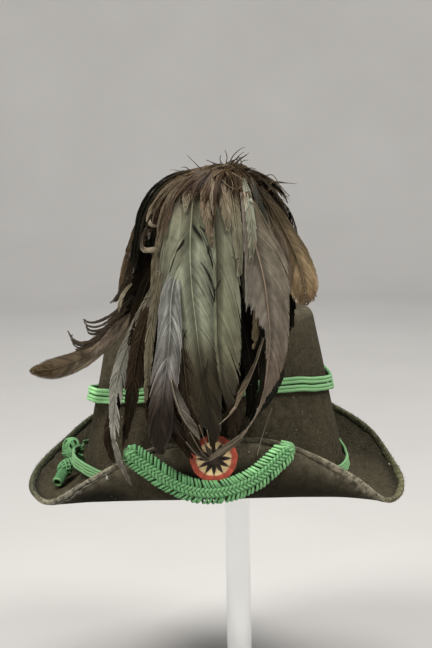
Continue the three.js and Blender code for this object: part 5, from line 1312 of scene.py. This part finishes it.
turned("stand_foot_plate", "stand_base", plate(FOOT_R, 0, FOOT_T, 1.4))
turned("stand_clear_rod", "stand_rod", plate(ROD_R, FOOT_T + GAP, FOLD_Z + TOP_Z - TOP_T - GAP, .4))
turned("stand_top_disc", "stand_top", plate(TOP_R, FOLD_Z + TOP_Z - TOP_T, FOLD_Z + TOP_Z, 1.2))

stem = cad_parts["plume_stem"]
stem.data.materials.clear()
stem.data.materials.append(QUILL)

for ob in pieces:
    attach(ob, "root")

# ------------------------------------------------------------------ stage and light
seg = 96
prof = [(0.6, 0.0), (1.6, 0.0), (2.6, 0.0)] + [(2.6 + 1.0 * math.sin(a_), 1.0 - 1.0 * math.cos(a_)) for a_ in np.linspace(0, PI / 2, 20)[1:]] + [(3.6, 3.0)]
me = bpy.data.meshes.new("studio_floor")
vs = [(0, 0, -0.0002)] + [(r * math.cos(q), r * math.sin(q), z - 0.0002) for r, z in prof for q in np.arange(seg) / seg * 2 * PI]
fs = [(0, 1 + j, 1 + (j + 1) % seg) for j in range(seg)]
fs += [(1 + i * seg + j, 1 + (i + 1) * seg + j, 1 + (i + 1) * seg + (j + 1) % seg, 1 + i * seg + (j + 1) % seg) for i in range(len(prof) - 1) for j in range(seg)]
me.from_pydata(vs, [], fs)
for p in me.polygons:
    p.use_smooth = True
floor = bpy.data.objects.new("studio_floor", me)
bpy.context.scene.collection.objects.link(floor)
fm, fnt, fb = node_mat("pale_floor", 0.9, 0.0, 0.2)
fnt.links.new(ramp(fnt, noise(fnt, obj_coord(fnt), 3, 2), [(0.3, (0.50, 0.49, 0.475)), (0.7, (0.53, 0.52, 0.505))]), fb.inputs["Base Color"])
me.materials.append(fm)


def area(name, loc, aim, size, power, colour=(1, 1, 1)):
    d = bpy.data.lights.new(name, "AREA")
    d.shape = "RECTANGLE"
    d.size, d.size_y = size
    d.energy = power
    d.color = colour
    o = bpy.data.objects.new(name, d)
    o.location = loc
    o.rotation_euler = (Vector(aim) - Vector(loc)).to_track_quat("-Z", "Y").to_euler()
    bpy.context.scene.collection.objects.link(o)


area("key_left", (-0.95, -0.85, 1.75), (0, -.02, .33), (0.6, 0.6), 32, (1, .97, .92))
area("key_right", (0.95, -0.8, 1.75), (0, -.02, .33), (0.6, 0.6), 24, (1, .97, .93))
area("top", (0.1, -0.25, 2.0), (0, 0, .3), (0.9, 0.7), 24)
area("back_wall", (0, 1.2, 2.4), (0, 3.4, .8), (2.4, 1.0), 40)
world = bpy.data.worlds.new("studio")
bpy.context.scene.world = world
world.use_nodes = True
world.node_tree.nodes["Background"].inputs["Color"].default_value = (.95, .97, 1, 1)
world.node_tree.nodes["Background"].inputs["Strength"].default_value = 0.07
bpy.context.scene.view_settings.view_transform = "Standard"
